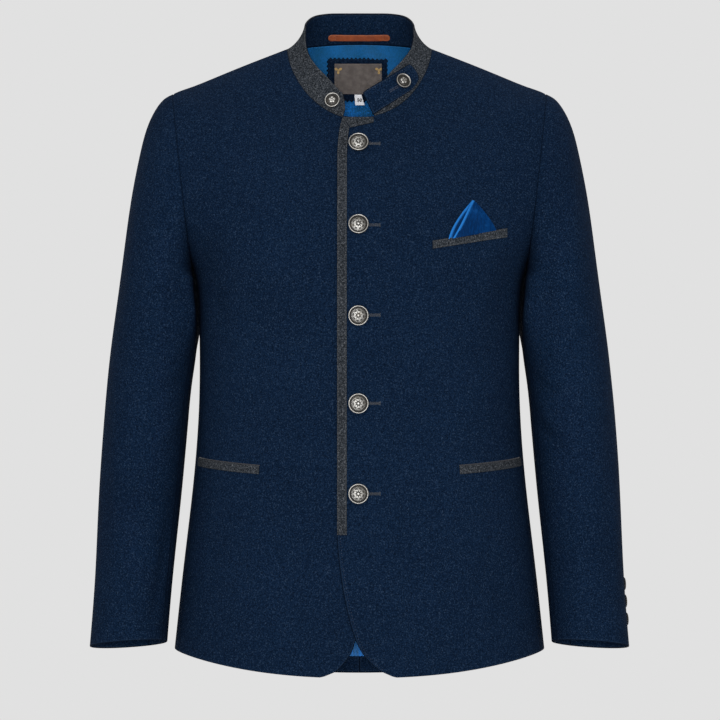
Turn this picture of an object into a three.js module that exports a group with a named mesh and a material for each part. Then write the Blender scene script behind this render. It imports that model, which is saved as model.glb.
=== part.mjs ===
import * as THREE from 'three';
import { mergeVertices } from 'three/addons/utils/BufferGeometryUtils.js';

// Trachten coat with a stand collar, filled out as if it were worn. Millimetres, +Z up.
// The wearer's front faces -Y and the wearer's left is +X. The origin is the middle of the
// neck at the height where the shoulder line meets the collar.

const degree = Math.PI / 180;

// Thickness of each cloth, and the gaps that the pieces keep.
const bodyCloth = 2.4;
const sleeveCloth = 2.0;
const collarFelt = 1.5;
const trimFelt = 1.2;
const liningCloth = 1.0;
const seamHalf = 0.2;
const layGap = 0.4;
const layGapInside = 0.6;

// Finishes
const navyWool = new THREE.MeshStandardMaterial({ color: 0x14233f, roughness: 0.95 });
const greyFelt = new THREE.MeshStandardMaterial({ color: 0x47484b, roughness: 0.97 });
const blueSatin = new THREE.MeshStandardMaterial({ color: 0x1766b0, roughness: 0.35 });
const tanLeather = new THREE.MeshStandardMaterial({ color: 0xa5522a, roughness: 0.55 });
const oldSilver = new THREE.MeshStandardMaterial({ color: 0x8c8880, roughness: 0.4, metalness: 0.9 });
const labelSatin = new THREE.MeshStandardMaterial({ color: 0x5f554b, roughness: 0.5 });
const whiteTape = new THREE.MeshStandardMaterial({ color: 0xe8e8e4, roughness: 0.8 });

// A table is a line of column names and a row of numbers for each section.
function table(names, ...rows) {
  const columns = names.split(' ');
  return rows.map((row) => Object.fromEntries(columns.map((name, i) => [name, row[i]])));
}

// Smooth track through values, never beyond two neighbours.
function track(at, values) {
  const last = at.length - 1;
  const step = [];
  const slope = [];
  for (let i = 0; i < last; i += 1) {
    step.push(at[i + 1] - at[i]);
    slope.push((values[i + 1] - values[i]) / step[i]);
  }
  const tangent = [slope[0]];
  for (let i = 1; i < last; i += 1) {
    const before = 2 * step[i] + step[i - 1];
    const after = step[i] + 2 * step[i - 1];
    const turns = slope[i - 1] * slope[i] <= 0;
    tangent.push(turns ? 0 : (before + after) / (before / slope[i - 1] + after / slope[i]));
  }
  tangent.push(slope[last - 1]);
  return (where) => {
    let i = 0;
    while (i < last - 1 && where > at[i + 1]) i += 1;
    const s = THREE.MathUtils.clamp((where - at[i]) / step[i], 0, 1);
    const start = (1 + 2 * s) * (1 - s) ** 2 * values[i] + s * (1 - s) ** 2 * step[i] * tangent[i];
    const end = s * s * (3 - 2 * s) * values[i + 1] - s * s * (1 - s) * step[i] * tangent[i + 1];
    return start + end;
  };
}

// Spline through values, with a steady bend at each of them.
function spline(at, values) {
  const last = at.length - 1;
  const bend = [0];
  const load = [0];
  for (let i = 1; i < last; i += 1) {
    const whole = at[i + 1] - at[i - 1];
    const share = (at[i] - at[i - 1]) / whole;
    const pivot = share * bend[i - 1] + 2;
    const after = (values[i + 1] - values[i]) / (at[i + 1] - at[i]);
    const before = (values[i] - values[i - 1]) / (at[i] - at[i - 1]);
    bend.push((share - 1) / pivot);
    load.push((6 * (after - before) / whole - share * load[i - 1]) / pivot);
  }
  bend.push(0);
  for (let i = last - 1; i > 0; i -= 1) bend[i] = bend[i] * bend[i + 1] + load[i];
  return (where) => {
    let i = 0;
    while (i < last - 1 && where > at[i + 1]) i += 1;
    const step = at[i + 1] - at[i];
    const b = (where - at[i]) / step;
    const a = 1 - b;
    const curve = ((a ** 3 - a) * bend[i] + (b ** 3 - b) * bend[i + 1]) * step * step / 6;
    return a * values[i] + b * values[i + 1] + curve;
  };
}

// All columns of a table at one place of its first column.
function sections(rows, through = spline) {
  const [along, ...others] = Object.keys(rows[0]);
  const at = rows.map((row) => row[along]);
  const tracks = others.map((name) => through(at, rows.map((row) => row[name])));
  return (where) => Object.fromEntries(others.map((name, i) => [name, tracks[i](where)]));
}

const signedPower = (value, power) => Math.sign(value) * Math.abs(value) ** power;
const mix = (a, b, share) => a + (b - a) * share;
const smooth = (from, to, value) => {
  const share = THREE.MathUtils.clamp((value - from) / (to - from), 0, 1);
  return share * share * (3 - 2 * share);
};

// Root of a function that changes sign between two places.
function solve(low, high, value) {
  const rising = value(high) > value(low);
  let a = low;
  let b = high;
  for (let i = 0; i < 40; i += 1) {
    const middle = (a + b) / 2;
    if (value(middle) > 0 === rising) b = middle;
    else a = middle;
  }
  return (a + b) / 2;
}

// Even steps from one value to another; a power above 1 crowds them at the end.
function steps(from, to, count, power = 1) {
  return Array.from({ length: count + 1 }, (_, i) => to + (from - to) * (1 - i / count) ** power);
}

// Body rings from the hem to the neck. rise is the way up the cloth, wide the half width,
// front and back the depth from the middle, the levels are heights, and the squares
// say how full the ring's corners are.
const bodyRings = table(
  'rise wide front back mid frontLevel sideLevel backLevel frontSquare backSquare bow',
  [0, 216, -148, 138, 0, -726, -700, -737, 2.3, 2.3, 2],
  [100, 205, -141, 132, 0, -612, -600, -616, 2.3, 2.3, 2],
  [190, 194.5, -137, 118, 0, -514, -510, -515, 2.3, 2.3, 2],
  [300, 187, -134, 106, 0, -402, -400, -402, 2.3, 2.3, 2],
  [370, 187, -138, 115, 0, -331, -330, -330, 2.3, 2.3, 2],
  [415, 189, -141, 126, 0, -286, -285, -285, 2.3, 2.3, 2],
  [445, 195, -141, 131, 0, -256, -255, -253, 2.3, 2.3, 2],
  [490, 219, -132, 134, 1, -212, -210, -203, 2.3, 2.3, 2],
  [545, 243, -113, 130, 3, -165, -155, -150, 2.3, 2.3, 2],
  [602, 245, -96, 118, 6, -132, -99, -103, 2.05, 2.0, 1.8],
  [646, 225, -84, 104, 8, -110, -57, -65, 1.85, 1.7, 1.6],
  [682, 198, -78.3, 94.3, 8.5, -100.5, -43.7, -48, 1.86, 1.66, 1.46],
  [718, 164, -75, 86, 8, -95, -30.2, -30, 1.95, 1.75, 1.35],
  [807, 84.2, -66, 66, 4, -84, 1, 11, 2.05, 2.1, 1.25],
);
const neckRise = 807;
const bodyAt = sections(bodyRings);

// Soft hollows and swells of the worn cloth: side -1 is the front, 1 the back.
const drape = table(
  'side across level wide tall out',
  [-1, 168, -270, 20, 70, -3.0],
  [-1, -170, -262, 20, 78, -3.4],
  [-1, 118, -590, 26, 110, 2.2],
  [-1, -126, -600, 24, 100, 2.6],
  [-1, 66, -330, 30, 90, 1.6],
  [1, 150, -230, 24, 80, -3.0],
  [1, -146, -238, 26, 84, -3.4],
  [1, 96, -600, 28, 100, 2.8],
  [1, -88, -610, 30, 96, 2.4],
  [1, 10, -420, 60, 26, -1.6],
);

function drapeOut(side, x, z) {
  let out = 0;
  for (const fold of drape) {
    if (fold.side !== side) continue;
    const across = (x - fold.across) / fold.wide;
    const along = (z - fold.level) / fold.tall;
    out += fold.out * Math.exp(-across * across - along * along);
  }
  return out;
}

// Point of the body's outer face. turn is 0 at the wearer's left side and 90 degrees behind.
function bodyPoint(turn, rise) {
  const ring = bodyAt(rise);
  const s = Math.sin(turn);
  const ahead = s < 0;
  const square = ahead ? ring.frontSquare : ring.backSquare;
  const x = ring.wide * signedPower(Math.cos(turn), 2 / square);
  const depth = (ahead ? ring.front : ring.back) - ring.mid;
  const level = ahead ? ring.frontLevel : ring.backLevel;
  const z = mix(ring.sideLevel, level, Math.abs(s) ** ring.bow);
  const side = ahead ? -1 : 1;
  const y = ring.mid + (depth + side * drapeOut(side, x, z)) * Math.abs(s) ** (2 / square);
  return new THREE.Vector3(x, y, z);
}

// Place on a surface: its point and its outward direction.
function placeOn(surface, u, v, du, dv) {
  const across = surface(u + du, v).sub(surface(u - du, v));
  const along = surface(u, v + dv).sub(surface(u, v - dv));
  return { point: surface(u, v), normal: across.cross(along).normalize() };
}
const bodyPlace = (turn, rise) => placeOn(bodyPoint, turn, rise, 0.004, 1);
const raised = (place, out) => ({
  point: place.point.clone().addScaledVector(place.normal, out),
  normal: place.normal,
});

// Turn that lies a distance in millimetres further round the body.
function turnBy(turn, rise, distance) {
  const reach = bodyPoint(turn + 0.01, rise).distanceTo(bodyPoint(turn - 0.01, rise)) / 0.02;
  return turn + distance / reach;
}

// Finds the two parameters of the surface point that is seen from the front at x and z.
function spot(surface, x, z, u, v, du, dv) {
  let [a, b] = [u, v];
  for (let i = 0; i < 30; i += 1) {
    const here = surface(a, b);
    const byA = surface(a + du, b).sub(here).divideScalar(du);
    const byB = surface(a, b + dv).sub(here).divideScalar(dv);
    const size = byA.x * byB.z - byA.z * byB.x;
    const dx = x - here.x;
    const dz = z - here.z;
    a += 0.8 * (dx * byB.z - dz * byB.x) / size;
    b += 0.8 * (dz * byA.x - dx * byA.z) / size;
  }
  return [a, b];
}
const frontSpot = (x, z) => spot(bodyPoint, x, z, (-90 + x / 3) * degree, z + 722, 0.002, 0.5);
const backSpot = (x, z) => spot(bodyPoint, x, z, (90 - x / 3) * degree, 690 + z * 1.2, 0.002, 0.5);

// Closed body from points and faces, turned so that its faces point out.
function solid(points, faces) {
  let volume = 0;
  for (const [a, b, c] of faces) volume += points[a].dot(points[b].clone().cross(points[c]));
  const index = volume > 0 ? faces.flat() : faces.flatMap(([a, b, c]) => [a, c, b]);
  const geometry = new THREE.BufferGeometry().setFromPoints(points);
  geometry.setIndex(index);
  geometry.computeVertexNormals();
  return geometry;
}

// Closed wall over a grid of places, between two distances from the surface. A place that
// must not pass its seam has a keep function for its points.
function wall(places, outer, inner) {
  const rows = places.length;
  const columns = places[0].length;
  const points = [outer, inner].flatMap((out) => places.flat().map((place) => {
    const point = raised(place, out).point;
    return place.keep ? place.keep(point) : point;
  }));
  const at = (side, j, i) => (side * rows + j) * columns + i;
  const faces = [];
  const quad = (a, b, c, d) => faces.push([a, b, c], [a, c, d]);
  for (let j = 0; j < rows - 1; j += 1) {
    for (let i = 0; i < columns - 1; i += 1) {
      quad(at(0, j, i), at(0, j, i + 1), at(0, j + 1, i + 1), at(0, j + 1, i));
      quad(at(1, j, i), at(1, j + 1, i), at(1, j + 1, i + 1), at(1, j, i + 1));
    }
  }
  const [top, side] = [rows - 1, columns - 1];
  for (let i = 0; i < side; i += 1) {
    quad(at(0, 0, i + 1), at(0, 0, i), at(1, 0, i), at(1, 0, i + 1));
    quad(at(0, top, i), at(0, top, i + 1), at(1, top, i + 1), at(1, top, i));
  }
  for (let j = 0; j < top; j += 1) {
    quad(at(0, j + 1, side), at(0, j, side), at(1, j, side), at(1, j + 1, side));
    quad(at(0, j, 0), at(0, j + 1, 0), at(1, j + 1, 0), at(1, j, 0));
  }
  return solid(points, faces);
}

// The same pieces on the wearer's right side.
const across = (vector) => new THREE.Vector3(-vector.x, vector.y, vector.z);
const mirrored = (places) => places.map((row) => row.map((place) => ({
  point: across(place.point),
  normal: across(place.normal),
  keep: place.keep && ((point) => across(place.keep(across(point)))),
})));

const coat = new THREE.Group();
function add(name, geometry, material) {
  const piece = new THREE.Mesh(geometry, material);
  piece.name = name;
  coat.add(piece);
  return piece;
}

// The armhole lies in a plane that leans out towards the shoulder.
const shoulderPoint = { x: 218, z: -52.5 };
const underarmPoint = { x: 195, z: -255 };
const armholeLean = (shoulderPoint.x - underarmPoint.x) / (shoulderPoint.z - underarmPoint.z);
const armholeX = (z) => underarmPoint.x + armholeLean * (z - underarmPoint.z);
const pastArmhole = (point) => point.x - armholeX(point.z);

// Rises at which the side of the body leaves and meets the armhole plane.
const underarmRise = solve(430, 480, (rise) => pastArmhole(bodyPoint(0, rise)) + seamHalf);
const shoulderRise = solve(600, 718, (rise) => pastArmhole(bodyPoint(0, rise)) + seamHalf);
const armholeTurn = (rise, side) => side * solve(
  0, 88 * degree, (turn) => pastArmhole(bodyPoint(side * turn, rise)) + seamHalf);
const armholeRise = (turn) => solve(380, 545, (rise) => pastArmhole(bodyPoint(turn, rise)) + seamHalf);

// Seams of the side piece, and the rises at which they reach the armhole.
const frontSideSeam = -14 * degree;
const backSideSeam = 24 * degree;
const frontSeamRise = solve(underarmRise, 545, (rise) => armholeTurn(rise, -1) - frontSideSeam);
const backSeamRise = solve(underarmRise, 545, (rise) => armholeTurn(rise, 1) - backSideSeam);
const neckEdge = neckRise - 0.4;

// Turn at which a front or back panel ends towards the side.
function panelSide(rise, side) {
  const seam = side < 0 ? frontSideSeam : backSideSeam;
  if (rise <= (side < 0 ? frontSeamRise : backSeamRise)) return turnBy(seam, rise, side * seamHalf);
  if (rise < shoulderRise) return armholeTurn(rise, side);
  return turnBy(0, rise, side * 1.5 * seamHalf);
}

// Front edges at their heights: over is the left front's x, under the right front's mirrored x.
const frontEdges = sections(table(
  'level over under',
  [-726, 46, 50],
  [-724.8, 40, 43],
  [-719.5, 27, 29],
  [-709, 13, 17.5],
  [-697.6, 3, 9.5],
  [-684, -4, 4.5],
  [-648, -14.5, -7],
  [-603, -22.3, -15],
  [-563, -25.7, -18],
  [-130, -25.7, -18],
  [-104, -24, -18],
  [-82, -19.5, -18],
), track);
const edgeTurn = (rise, edge) => solve(-150 * degree, -20 * degree, (turn) => {
  const point = bodyPoint(turn, rise);
  return point.x - frontEdges(point.z)[edge];
});

// The left front lies on the right one, so it stands out over the whole overlap.
const overlapLift = bodyCloth + 0.5;
const overlapHeldTo = 24;
const overlapGoneAt = 62;
const liftAt = (x) => overlapLift * (1 - smooth(overlapHeldTo, overlapGoneAt, x));

// Rows of all panels: shares of the way to the armhole, close together at the round front
// corners, then up the armhole and on to the neck.
const lowerShares = [...[0, 2, 7, 17, 29].map((rise) => rise / 480), ...steps(0.09, 1, 9)];
const panelRises = (seamRise) => [
  ...lowerShares.map((share) => share * seamRise),
  ...steps(seamRise, shoulderRise, 8, 1.8).slice(1),
  ...steps(shoulderRise, neckEdge, 4).slice(1),
];
const frontRises = panelRises(frontSeamRise);
const backRises = panelRises(backSeamRise);

const frontColumns = 14;
const sideColumns = 5;
const backColumns = 9;
const centreBack = 90 * degree;

// A panel keeps the rises of its rows, the turns of its columns and its places.
function panel(rises, turnsAt, seat) {
  const turns = rises.map(turnsAt);
  return { rises, turns, places: rises.map((rise, j) => turns[j].map((turn) => seat(turn, rise))) };
}
const frontPanel = (edge, lift) => panel(
  frontRises,
  (rise) => steps(edgeTurn(rise, edge), panelSide(rise, -1), frontColumns),
  (turn, rise) => {
    const place = bodyPlace(turn, rise);
    return raised(place, lift(place.point.x));
  },
);
const backPanel = (rises) => panel(
  rises,
  (rise) => steps(panelSide(rise, 1), turnBy(centreBack, rise, -seamHalf), backColumns),
  bodyPlace,
);

// Place on a panel's flat facets, so that what lies on the panel follows them.
function facetPlace({ rises, turns, places }, turn, rise) {
  const cell = (values, value) => {
    let i = 0;
    while (i < values.length - 2 && (value - values[i + 1]) * (values[1] - values[0]) > 0) i += 1;
    return [i, (value - values[i]) / (values[i + 1] - values[i])];
  };
  const between = (a, b, share) => ({
    point: a.point.clone().lerp(b.point, share),
    normal: a.normal.clone().lerp(b.normal, share).normalize(),
  });
  const onRow = (j) => {
    const [i, share] = cell(turns[j], turn);
    return between(places[j][i], places[j][i + 1], share);
  };
  const [j, share] = cell(rises, rise);
  return between(onRow(j), onRow(j + 1), share);
}
// The ends of a stretch, with the panel's own lines that lie between them.
const linesBetween = (lines, from, to) => {
  const inner = lines.filter((line) => line > Math.min(from, to) + 0.02 && line < Math.max(from, to) - 0.02);
  return [from, ...inner.sort((p, q) => (p - q) * Math.sign(to - from)), to];
};
const sidePlaces = lowerShares.map((up) => steps(0, 1, sideColumns).map((share) => {
  const seam = mix(frontSideSeam, backSideSeam, share);
  const rise = up * armholeRise(seam);
  return bodyPlace(turnBy(seam, rise, seamHalf * (1 - 2 * share)), rise);
}));

const leftFront = frontPanel('over', liftAt);
const rightFront = frontPanel('under', () => 0);
const leftBack = backPanel(backRises);
add('front_left', wall(leftFront.places, 0, -bodyCloth), navyWool);
add('front_right', wall(mirrored(rightFront.places), 0, -bodyCloth), navyWool);
add('side_left', wall(sidePlaces, 0, -bodyCloth), navyWool);
add('side_right', wall(mirrored(sidePlaces), 0, -bodyCloth), navyWool);
add('back_left', wall(leftBack.places, 0, -bodyCloth), navyWool);
add('back_right', wall(mirrored(leftBack.places), 0, -bodyCloth), navyWool);

// Inside of the back: the hem folded up, and the satin lining above it.
const hemFold = 20;
const foldCloth = 1.6;
const foldOuter = -bodyCloth - layGapInside;
const hemRises = [0.3, hemFold];
const liningFoot = hemFold + 1;
const liningTop = neckEdge - 4;
const betweenThem = backRises.filter((rise) => rise > liningFoot + 3 && rise < liningTop - 5);
const liningRises = [liningFoot, ...betweenThem, liningTop];
const foldPlaces = backPanel(hemRises).places;
const leftLining = backPanel(liningRises);
const liningPlaces = leftLining.places;
add('hem_fold_left', wall(foldPlaces, foldOuter, foldOuter - foldCloth), navyWool);
add('hem_fold_right', wall(mirrored(foldPlaces), foldOuter, foldOuter - foldCloth), navyWool);
add('lining_left', wall(liningPlaces, foldOuter, foldOuter - liningCloth), blueSatin);
add('lining_right', wall(mirrored(liningPlaces), foldOuter, foldOuter - liningCloth), blueSatin);

// Sleeve sections from the armhole to the cuff: the outer and inner points seen from the
// front, the reach to front and back, the drop of the back of the section, how much of the
// armhole's egg shape is left, and how far the inside lies against the body.
const sleeveSections = sections(table(
  'run outX outZ inX inZ front back drop egg press',
  [0, 218, -52.5, 195, -255, -66, 80, 0, 1, 0],
  [12, 227.5, -57.5, 194.5, -261, -68, 81, 0, 0.97, 0.3],
  [26, 236.5, -67.5, 194, -267, -69, 82, 0, 0.9, 0.7],
  [48, 247.5, -89, 193, -275, -70, 82, 0, 0.72, 1],
  [78, 256.8, -122.5, 192.3, -286, -71, 82, 0, 0.45, 1],
  [118, 266.5, -172, 191.8, -300, -72, 81, 0, 0.2, 1],
  [168, 275.5, -236, 191.4, -321, -72, 80, 0, 0.05, 1],
  [222, 284, -300, 191.5, -350, -71, 78, 0, 0, 0.35],
  [290, 292.5, -366, 196.3, -393, -69, 74, 0, 0, 0],
  [360, 299.5, -446, 201.6, -450, -67, 67, 0, 0, 0],
  [436, 304.6, -529, 208.8, -529, -69, 55, 1, 0, 0],
  [512, 308, -612, 217.2, -611, -73, 40, 3, 0, 0],
  [594, 314, -697, 223.8, -691, -78, 26, 6.5, 0, 0],
));
const cuffRun = 594;
const sleeveSquare = 2.15;

// The sleeve's inside never lies nearer the middle of the body than this.
const pressedTo = 187.8;

// Armhole outline in its own plane: y, and the way up from its middle.
const armholeMiddle = new THREE.Vector3(
  (shoulderPoint.x + underarmPoint.x) / 2, 5, (shoulderPoint.z + underarmPoint.z) / 2);
const armholeUp = new THREE.Vector3(
  shoulderPoint.x - underarmPoint.x, 0, shoulderPoint.z - underarmPoint.z).normalize();
const armholeOutline = [-1, 1].flatMap((side) => (
  steps(0, 1, 60).map((share) => {
    const wave = 0.5 - 0.5 * Math.cos(share * Math.PI);
    const rise = mix(underarmRise + 0.01, shoulderRise - 0.01, wave);
    const local = bodyPoint(armholeTurn(rise, side), rise).sub(armholeMiddle);
    const [up, back] = [local.dot(armholeUp), local.y];
    return { angle: Math.atan2(back, up), reach: Math.hypot(up, back) };
  })
)).sort((a, b) => a.angle - b.angle);

function armholeReach(angle) {
  const count = armholeOutline.length;
  const after = armholeOutline.findIndex((spotOn) => spotOn.angle > angle);
  const b = armholeOutline[after < 0 ? 0 : after];
  const a = armholeOutline[((after < 0 ? 0 : after) + count - 1) % count];
  const gap = (b.angle - a.angle + 2 * Math.PI) % (2 * Math.PI);
  const way = (angle - a.angle + 2 * Math.PI) % (2 * Math.PI);
  return mix(a.reach, b.reach, gap > 0 ? way / gap : 0);
}

// A section's oval, in its own plane: the angle is 0 outside and 90 degrees behind.
function oval(section, angle) {
  const high = Math.hypot(section.outX - section.inX, section.outZ - section.inZ) / 2;
  const s = Math.sin(angle);
  const middle = (section.front + section.back) / 2;
  const reach = s < 0 ? middle - section.front : section.back - middle;
  return {
    up: high * signedPower(Math.cos(angle), 2 / sleeveSquare),
    back: middle + reach * signedPower(s, 2 / sleeveSquare),
  };
}
const firstSection = sleeveSections(0);

// Half width of the body below the armhole at a depth and height.
function bodyHalfWidth(y, z) {
  const ring = bodyAt(z - bodyRings[0].sideLevel);
  const ahead = y < ring.mid;
  const reach = ahead ? ring.mid - ring.front : ring.back - ring.mid;
  const square = ahead ? ring.frontSquare : ring.backSquare;
  const share = Math.min(Math.abs(y - ring.mid) / reach, 1);
  return ring.wide * (1 - share ** square) ** (1 / square);
}

// Point of the left sleeve's outer face.
function sleevePoint(angle, run) {
  const section = sleeveSections(run);
  const here = oval(section, angle);
  const start = oval(firstSection, angle);
  const direction = Math.atan2(start.back - armholeMiddle.y, start.up);
  const reach = armholeReach(direction);
  const up = here.up + section.egg * (reach * Math.cos(direction) - start.up);
  const y = here.back + section.egg * (armholeMiddle.y + reach * Math.sin(direction) - start.back);
  const tilt = new THREE.Vector2(section.outX - section.inX, section.outZ - section.inZ).normalize();
  let x = (section.outX + section.inX) / 2 + tilt.x * up;
  const z = (section.outZ + section.inZ) / 2 + tilt.y * up - section.drop * Math.sin(angle);
  if (z < underarmPoint.z + 2 && z > -430) {
    const beside = smooth(underarmPoint.z + 2, underarmPoint.z - 14, z);
    const clear = bodyHalfWidth(y, z) + mix(0.5, 2.4, beside);
    const inside = smooth(-0.25, -0.8, Math.cos(angle)) * section.press * beside;
    x = Math.max(clear, mix(x, Math.max(clear + 0.4, pressedTo), inside));
  }
  return new THREE.Vector3(x, y, z);
}

// Sleeve walls stay on their own side of the armhole plane.
const keepPastArmhole = (point) => {
  const short = seamHalf - pastArmhole(point);
  return short > 0 ? point.clone().setX(point.x + short) : point;
};
function sleevePlace(angle, run) {
  const place = placeOn(sleevePoint, angle, Math.max(run, 0.5), 0.01, 0.5);
  const point = sleevePoint(angle, run);
  return { point, normal: place.normal.negate(), keep: keepPastArmhole };
}
// Each sleeve has a top piece and a piece under the arm. The top piece bends around the whole
// arm, so it is two solids that meet at the elbow, where the real piece goes on.
const frontSleeveSeam = -152;
const backSleeveSeam = 118;
const sleeveSlit = 0.3;
const elbowRun = 300;
const elbowSlit = 0.15;
const topColumns = 14;
const underColumns = 5;
const upperRuns = [
  0, 6, 14, 26, 42, 64, 92, 124,
  ...steps(160, elbowRun - elbowSlit, 3),
];
const lowerRuns = steps(elbowRun + elbowSlit, cuffRun, 6);
const sleevePlaces = (runs, from, to, columns) => runs.map((run) => (
  steps(from * degree, to * degree, columns).map((angle) => sleevePlace(angle, run))
));
const topPlaces = (runs) => (
  sleevePlaces(runs, frontSleeveSeam + sleeveSlit, backSleeveSeam - sleeveSlit, topColumns));
const underPlaces = sleevePlaces(
  [...upperRuns, ...lowerRuns.slice(1)],
  backSleeveSeam + sleeveSlit, 360 + frontSleeveSeam - sleeveSlit, underColumns);
const sleeveParts = { top_upper: topPlaces(upperRuns), top_lower: topPlaces(lowerRuns), under: underPlaces };
for (const [part, places] of Object.entries(sleeveParts)) {
  add(`sleeve_${part}_left`, wall(places, 0, -sleeveCloth), navyWool);
  add(`sleeve_${part}_right`, wall(mirrored(places), 0, -sleeveCloth), navyWool);
}

// Top edge of the stand collar, by the angle from the front.
const collarEdge = sections(table(
  'angle x y level',
  [0, 0, -58, -66],
  [20, 20.5, -55.5, -50.8],
  [45, 38, -44, -30.3],
  [62, 51.5, -30, -16],
  [80, 62.5, -12, 2.5],
  [90, 64.5, 0, 16.5],
  [104, 64.5, 14, 28.5],
  [122, 59, 29, 38.3],
  [140, 49.5, 41, 43.3],
  [160, 29.5, 51, 46],
  [180, 0, 54, 46.3],
), track);
const collarTilt = 3.6;
const collarFlare = 0.85;
const collarFoot = 0.012;
const collarInner = collarFelt + 0.3;
const collarLining = 1.4;
const collarRows = 3;
const collarColumns = 34;

// Point of the collar's outer face: up is 0 at the neck seam and 1 at the top edge. At the
// sides the foot flares out into the shoulders, and the left front stands higher.
function collarPoint(turn, up) {
  const foot = bodyPoint(turn, neckRise);
  const fromFront = Math.abs(((turn / degree + 270) % 360 + 360) % 360 - 180);
  const top = collarEdge(fromFront);
  const side = Math.cos(turn) < 0 ? -1 : 1;
  const high = top.level + side * collarTilt * Math.sin(Math.PI * Math.min(fromFront / 100, 1));
  const inward = up + collarFlare * Math.cos(turn) ** 2 * up * (1 - up);
  return new THREE.Vector3(
    mix(foot.x, side * top.x, inward), mix(foot.y, top.y, inward), mix(foot.z, high, up));
}
const collarPlace = (turn, up) => placeOn(collarPoint, turn, up, 0.01, 0.02);
const collarTurn = (up, x, low, high) => (
  solve(low * degree, high * degree, (turn) => collarPoint(turn, up).x - x));
const leftCollarEnd = (up) => mix(18, 9.5, up);
const rightCollarEnd = (up) => -19.5 + 2.8 * Math.sin(Math.PI * up);
const collarFrom = (up) => collarTurn(up, leftCollarEnd(up), -89, -40);
const collarTo = (up) => collarTurn(up, rightCollarEnd(up), 220, 269);
const collarPlaces = steps(collarFoot, 1, collarRows).map((up) => (
  steps(collarFrom(up), collarTo(up), collarColumns).map((turn) => collarPlace(turn, up))
));
add('collar_outer', wall(collarPlaces, 0, -collarFelt), greyFelt);
add('collar_inner', wall(collarPlaces, -collarInner, -collarInner - collarLining), navyWool);

// Throat strap, folded back from the collar's left end and buttoned onto the collar. Its
// straight edges run from the fold to the rounded end, as seen from the front.
const strapCloth = 1.6;
const strapEdges = table(
  'foldX foldZ endX endZ',
  [15.9, -79.6, 65.6, -46.2],
  [3.6, -53.2, 57.4, -19.2],
);
const strapRound = 6.5;
const strapLowest = 0.07;
const neckHalfWidth = bodyAt(neckRise).wide;
const onCollarFront = ([x, z]) => {
  const [turn, up] = spot(collarPoint, x, z, -Math.acos(x / neckHalfWidth), 0.5, 0.01, 0.02);
  return collarPlace(turn, Math.max(up, strapLowest));
};
const [strapLow, strapHigh] = strapEdges;
const strapPlaces = steps(0, 1, 4).map((across) => (
  steps(0, 1, 12).map((along) => {
    const foldX = mix(strapLow.foldX, strapHigh.foldX, across);
    const foldZ = mix(strapLow.foldZ, strapHigh.foldZ, across);
    const endX = mix(strapLow.endX, strapHigh.endX, across) + strapRound * Math.sin(Math.PI * across) ** 0.7;
    const endZ = mix(strapLow.endZ, strapHigh.endZ, across);
    return onCollarFront([mix(foldX, endX, along), mix(foldZ, endZ, along)]);
  })
));
add('throat_strap', wall(strapPlaces, layGap + strapCloth, layGap), navyWool);

// Grey trim down the left front's edge, mitred at the neck into a short band.
const trimWidth = 11;
const trimBottom = -563;
const neckLine = -84.6;
const mitreDrop = 12;
const onLeftFront = ([x, z]) => facetPlace(leftFront, ...frontSpot(x, z));
const patch = (columns, rows, outline, seat) => (
  steps(0, 1, rows).map((up) => steps(0, 1, columns).map((share) => seat(outline(share, up))))
);
const edgeLevels = frontRises
  .map((rise) => bodyPoint(edgeTurn(rise, 'over'), rise).z)
  .filter((z) => z > trimBottom + 4 && z < neckLine - mitreDrop - 6);
const trimRow = (level, drop) => steps(0, 1, 2).map((share) => {
  const z = level - drop * share;
  return onLeftFront([frontEdges(z).over + 0.3 + trimWidth * share, z]);
});
const frontTrim = [
  ...[trimBottom, ...edgeLevels].map((level) => trimRow(level, 0)),
  trimRow(neckLine - mitreDrop * 0.6, mitreDrop * 0.5),
  trimRow(neckLine, mitreDrop),
];
const neckBand = patch(6, 2, (share, up) => {
  const left = mix(-10.3, -18.9, up);
  const low = mix(neckLine - mitreDrop, neckLine - 6, share);
  return [mix(left, 16.5, share), mix(low, neckLine, up)];
}, onLeftFront);
add('front_trim', wall(frontTrim, layGap + trimFelt, layGap), greyFelt);
add('neck_trim', wall(neckBand, layGap + trimFelt, layGap), greyFelt);

// Pocket welts: strips of felt at the pocket mouths.
const hipWeltStart = { x: 115, z: -494 };
const hipWeltHigh = 9.5;
const hipWeltClimb = 6;
const hipWeltEndTurn = frontSideSeam;
const [hipTurn, hipRise] = frontSpot(hipWeltStart.x, hipWeltStart.z);
const hipRow = frontRises.findIndex((rise) => rise > hipRise);
const hipTurns = linesBetween(rightFront.turns[hipRow], hipTurn, hipWeltEndTurn);
const hipWelt = (on) => [0, 1].map((up) => hipTurns.map((turn) => {
  const share = (turn - hipTurn) / (hipWeltEndTurn - hipTurn);
  return facetPlace(on, turn, hipRise + hipWeltClimb * share + hipWeltHigh * up);
}));
const chestWeltFelt = 1.6;
const chestWelt = patch(12, 1, (share, up) => [
  mix(83.5, 169.5, share), mix(-236, -221.5, share) + mix(9.5, 10.5, share) * up], onLeftFront);
add('hip_welt_left', wall(hipWelt(leftFront), layGap + trimFelt, layGap), greyFelt);
add('hip_welt_right', wall(mirrored(hipWelt(rightFront)), layGap + trimFelt, layGap), greyFelt);
add('chest_welt', wall(chestWelt, layGap + chestWeltFelt, layGap), greyFelt);

// Folded square of satin that stands out of the chest pocket.
const squareCloth = 2;
const squareBow = 1.6;
const squarePlaces = patch(8, 5, (share, up) => {
  const left = mix(102, 127, up);
  const right = mix(157, 133, up ** 1.5);
  return [mix(left, right, share), mix(mix(-222.6, -212.6, share), -184, up)];
}, onLeftFront).map((row, j) => row.map((place, i) => (
  raised(place, squareBow * Math.sin(Math.PI * (i / 8)) * (1 - 0.5 * (j / 5)))
)));
add('pocket_square', wall(squarePlaces, layGap + squareCloth, layGap), blueSatin);

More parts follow.
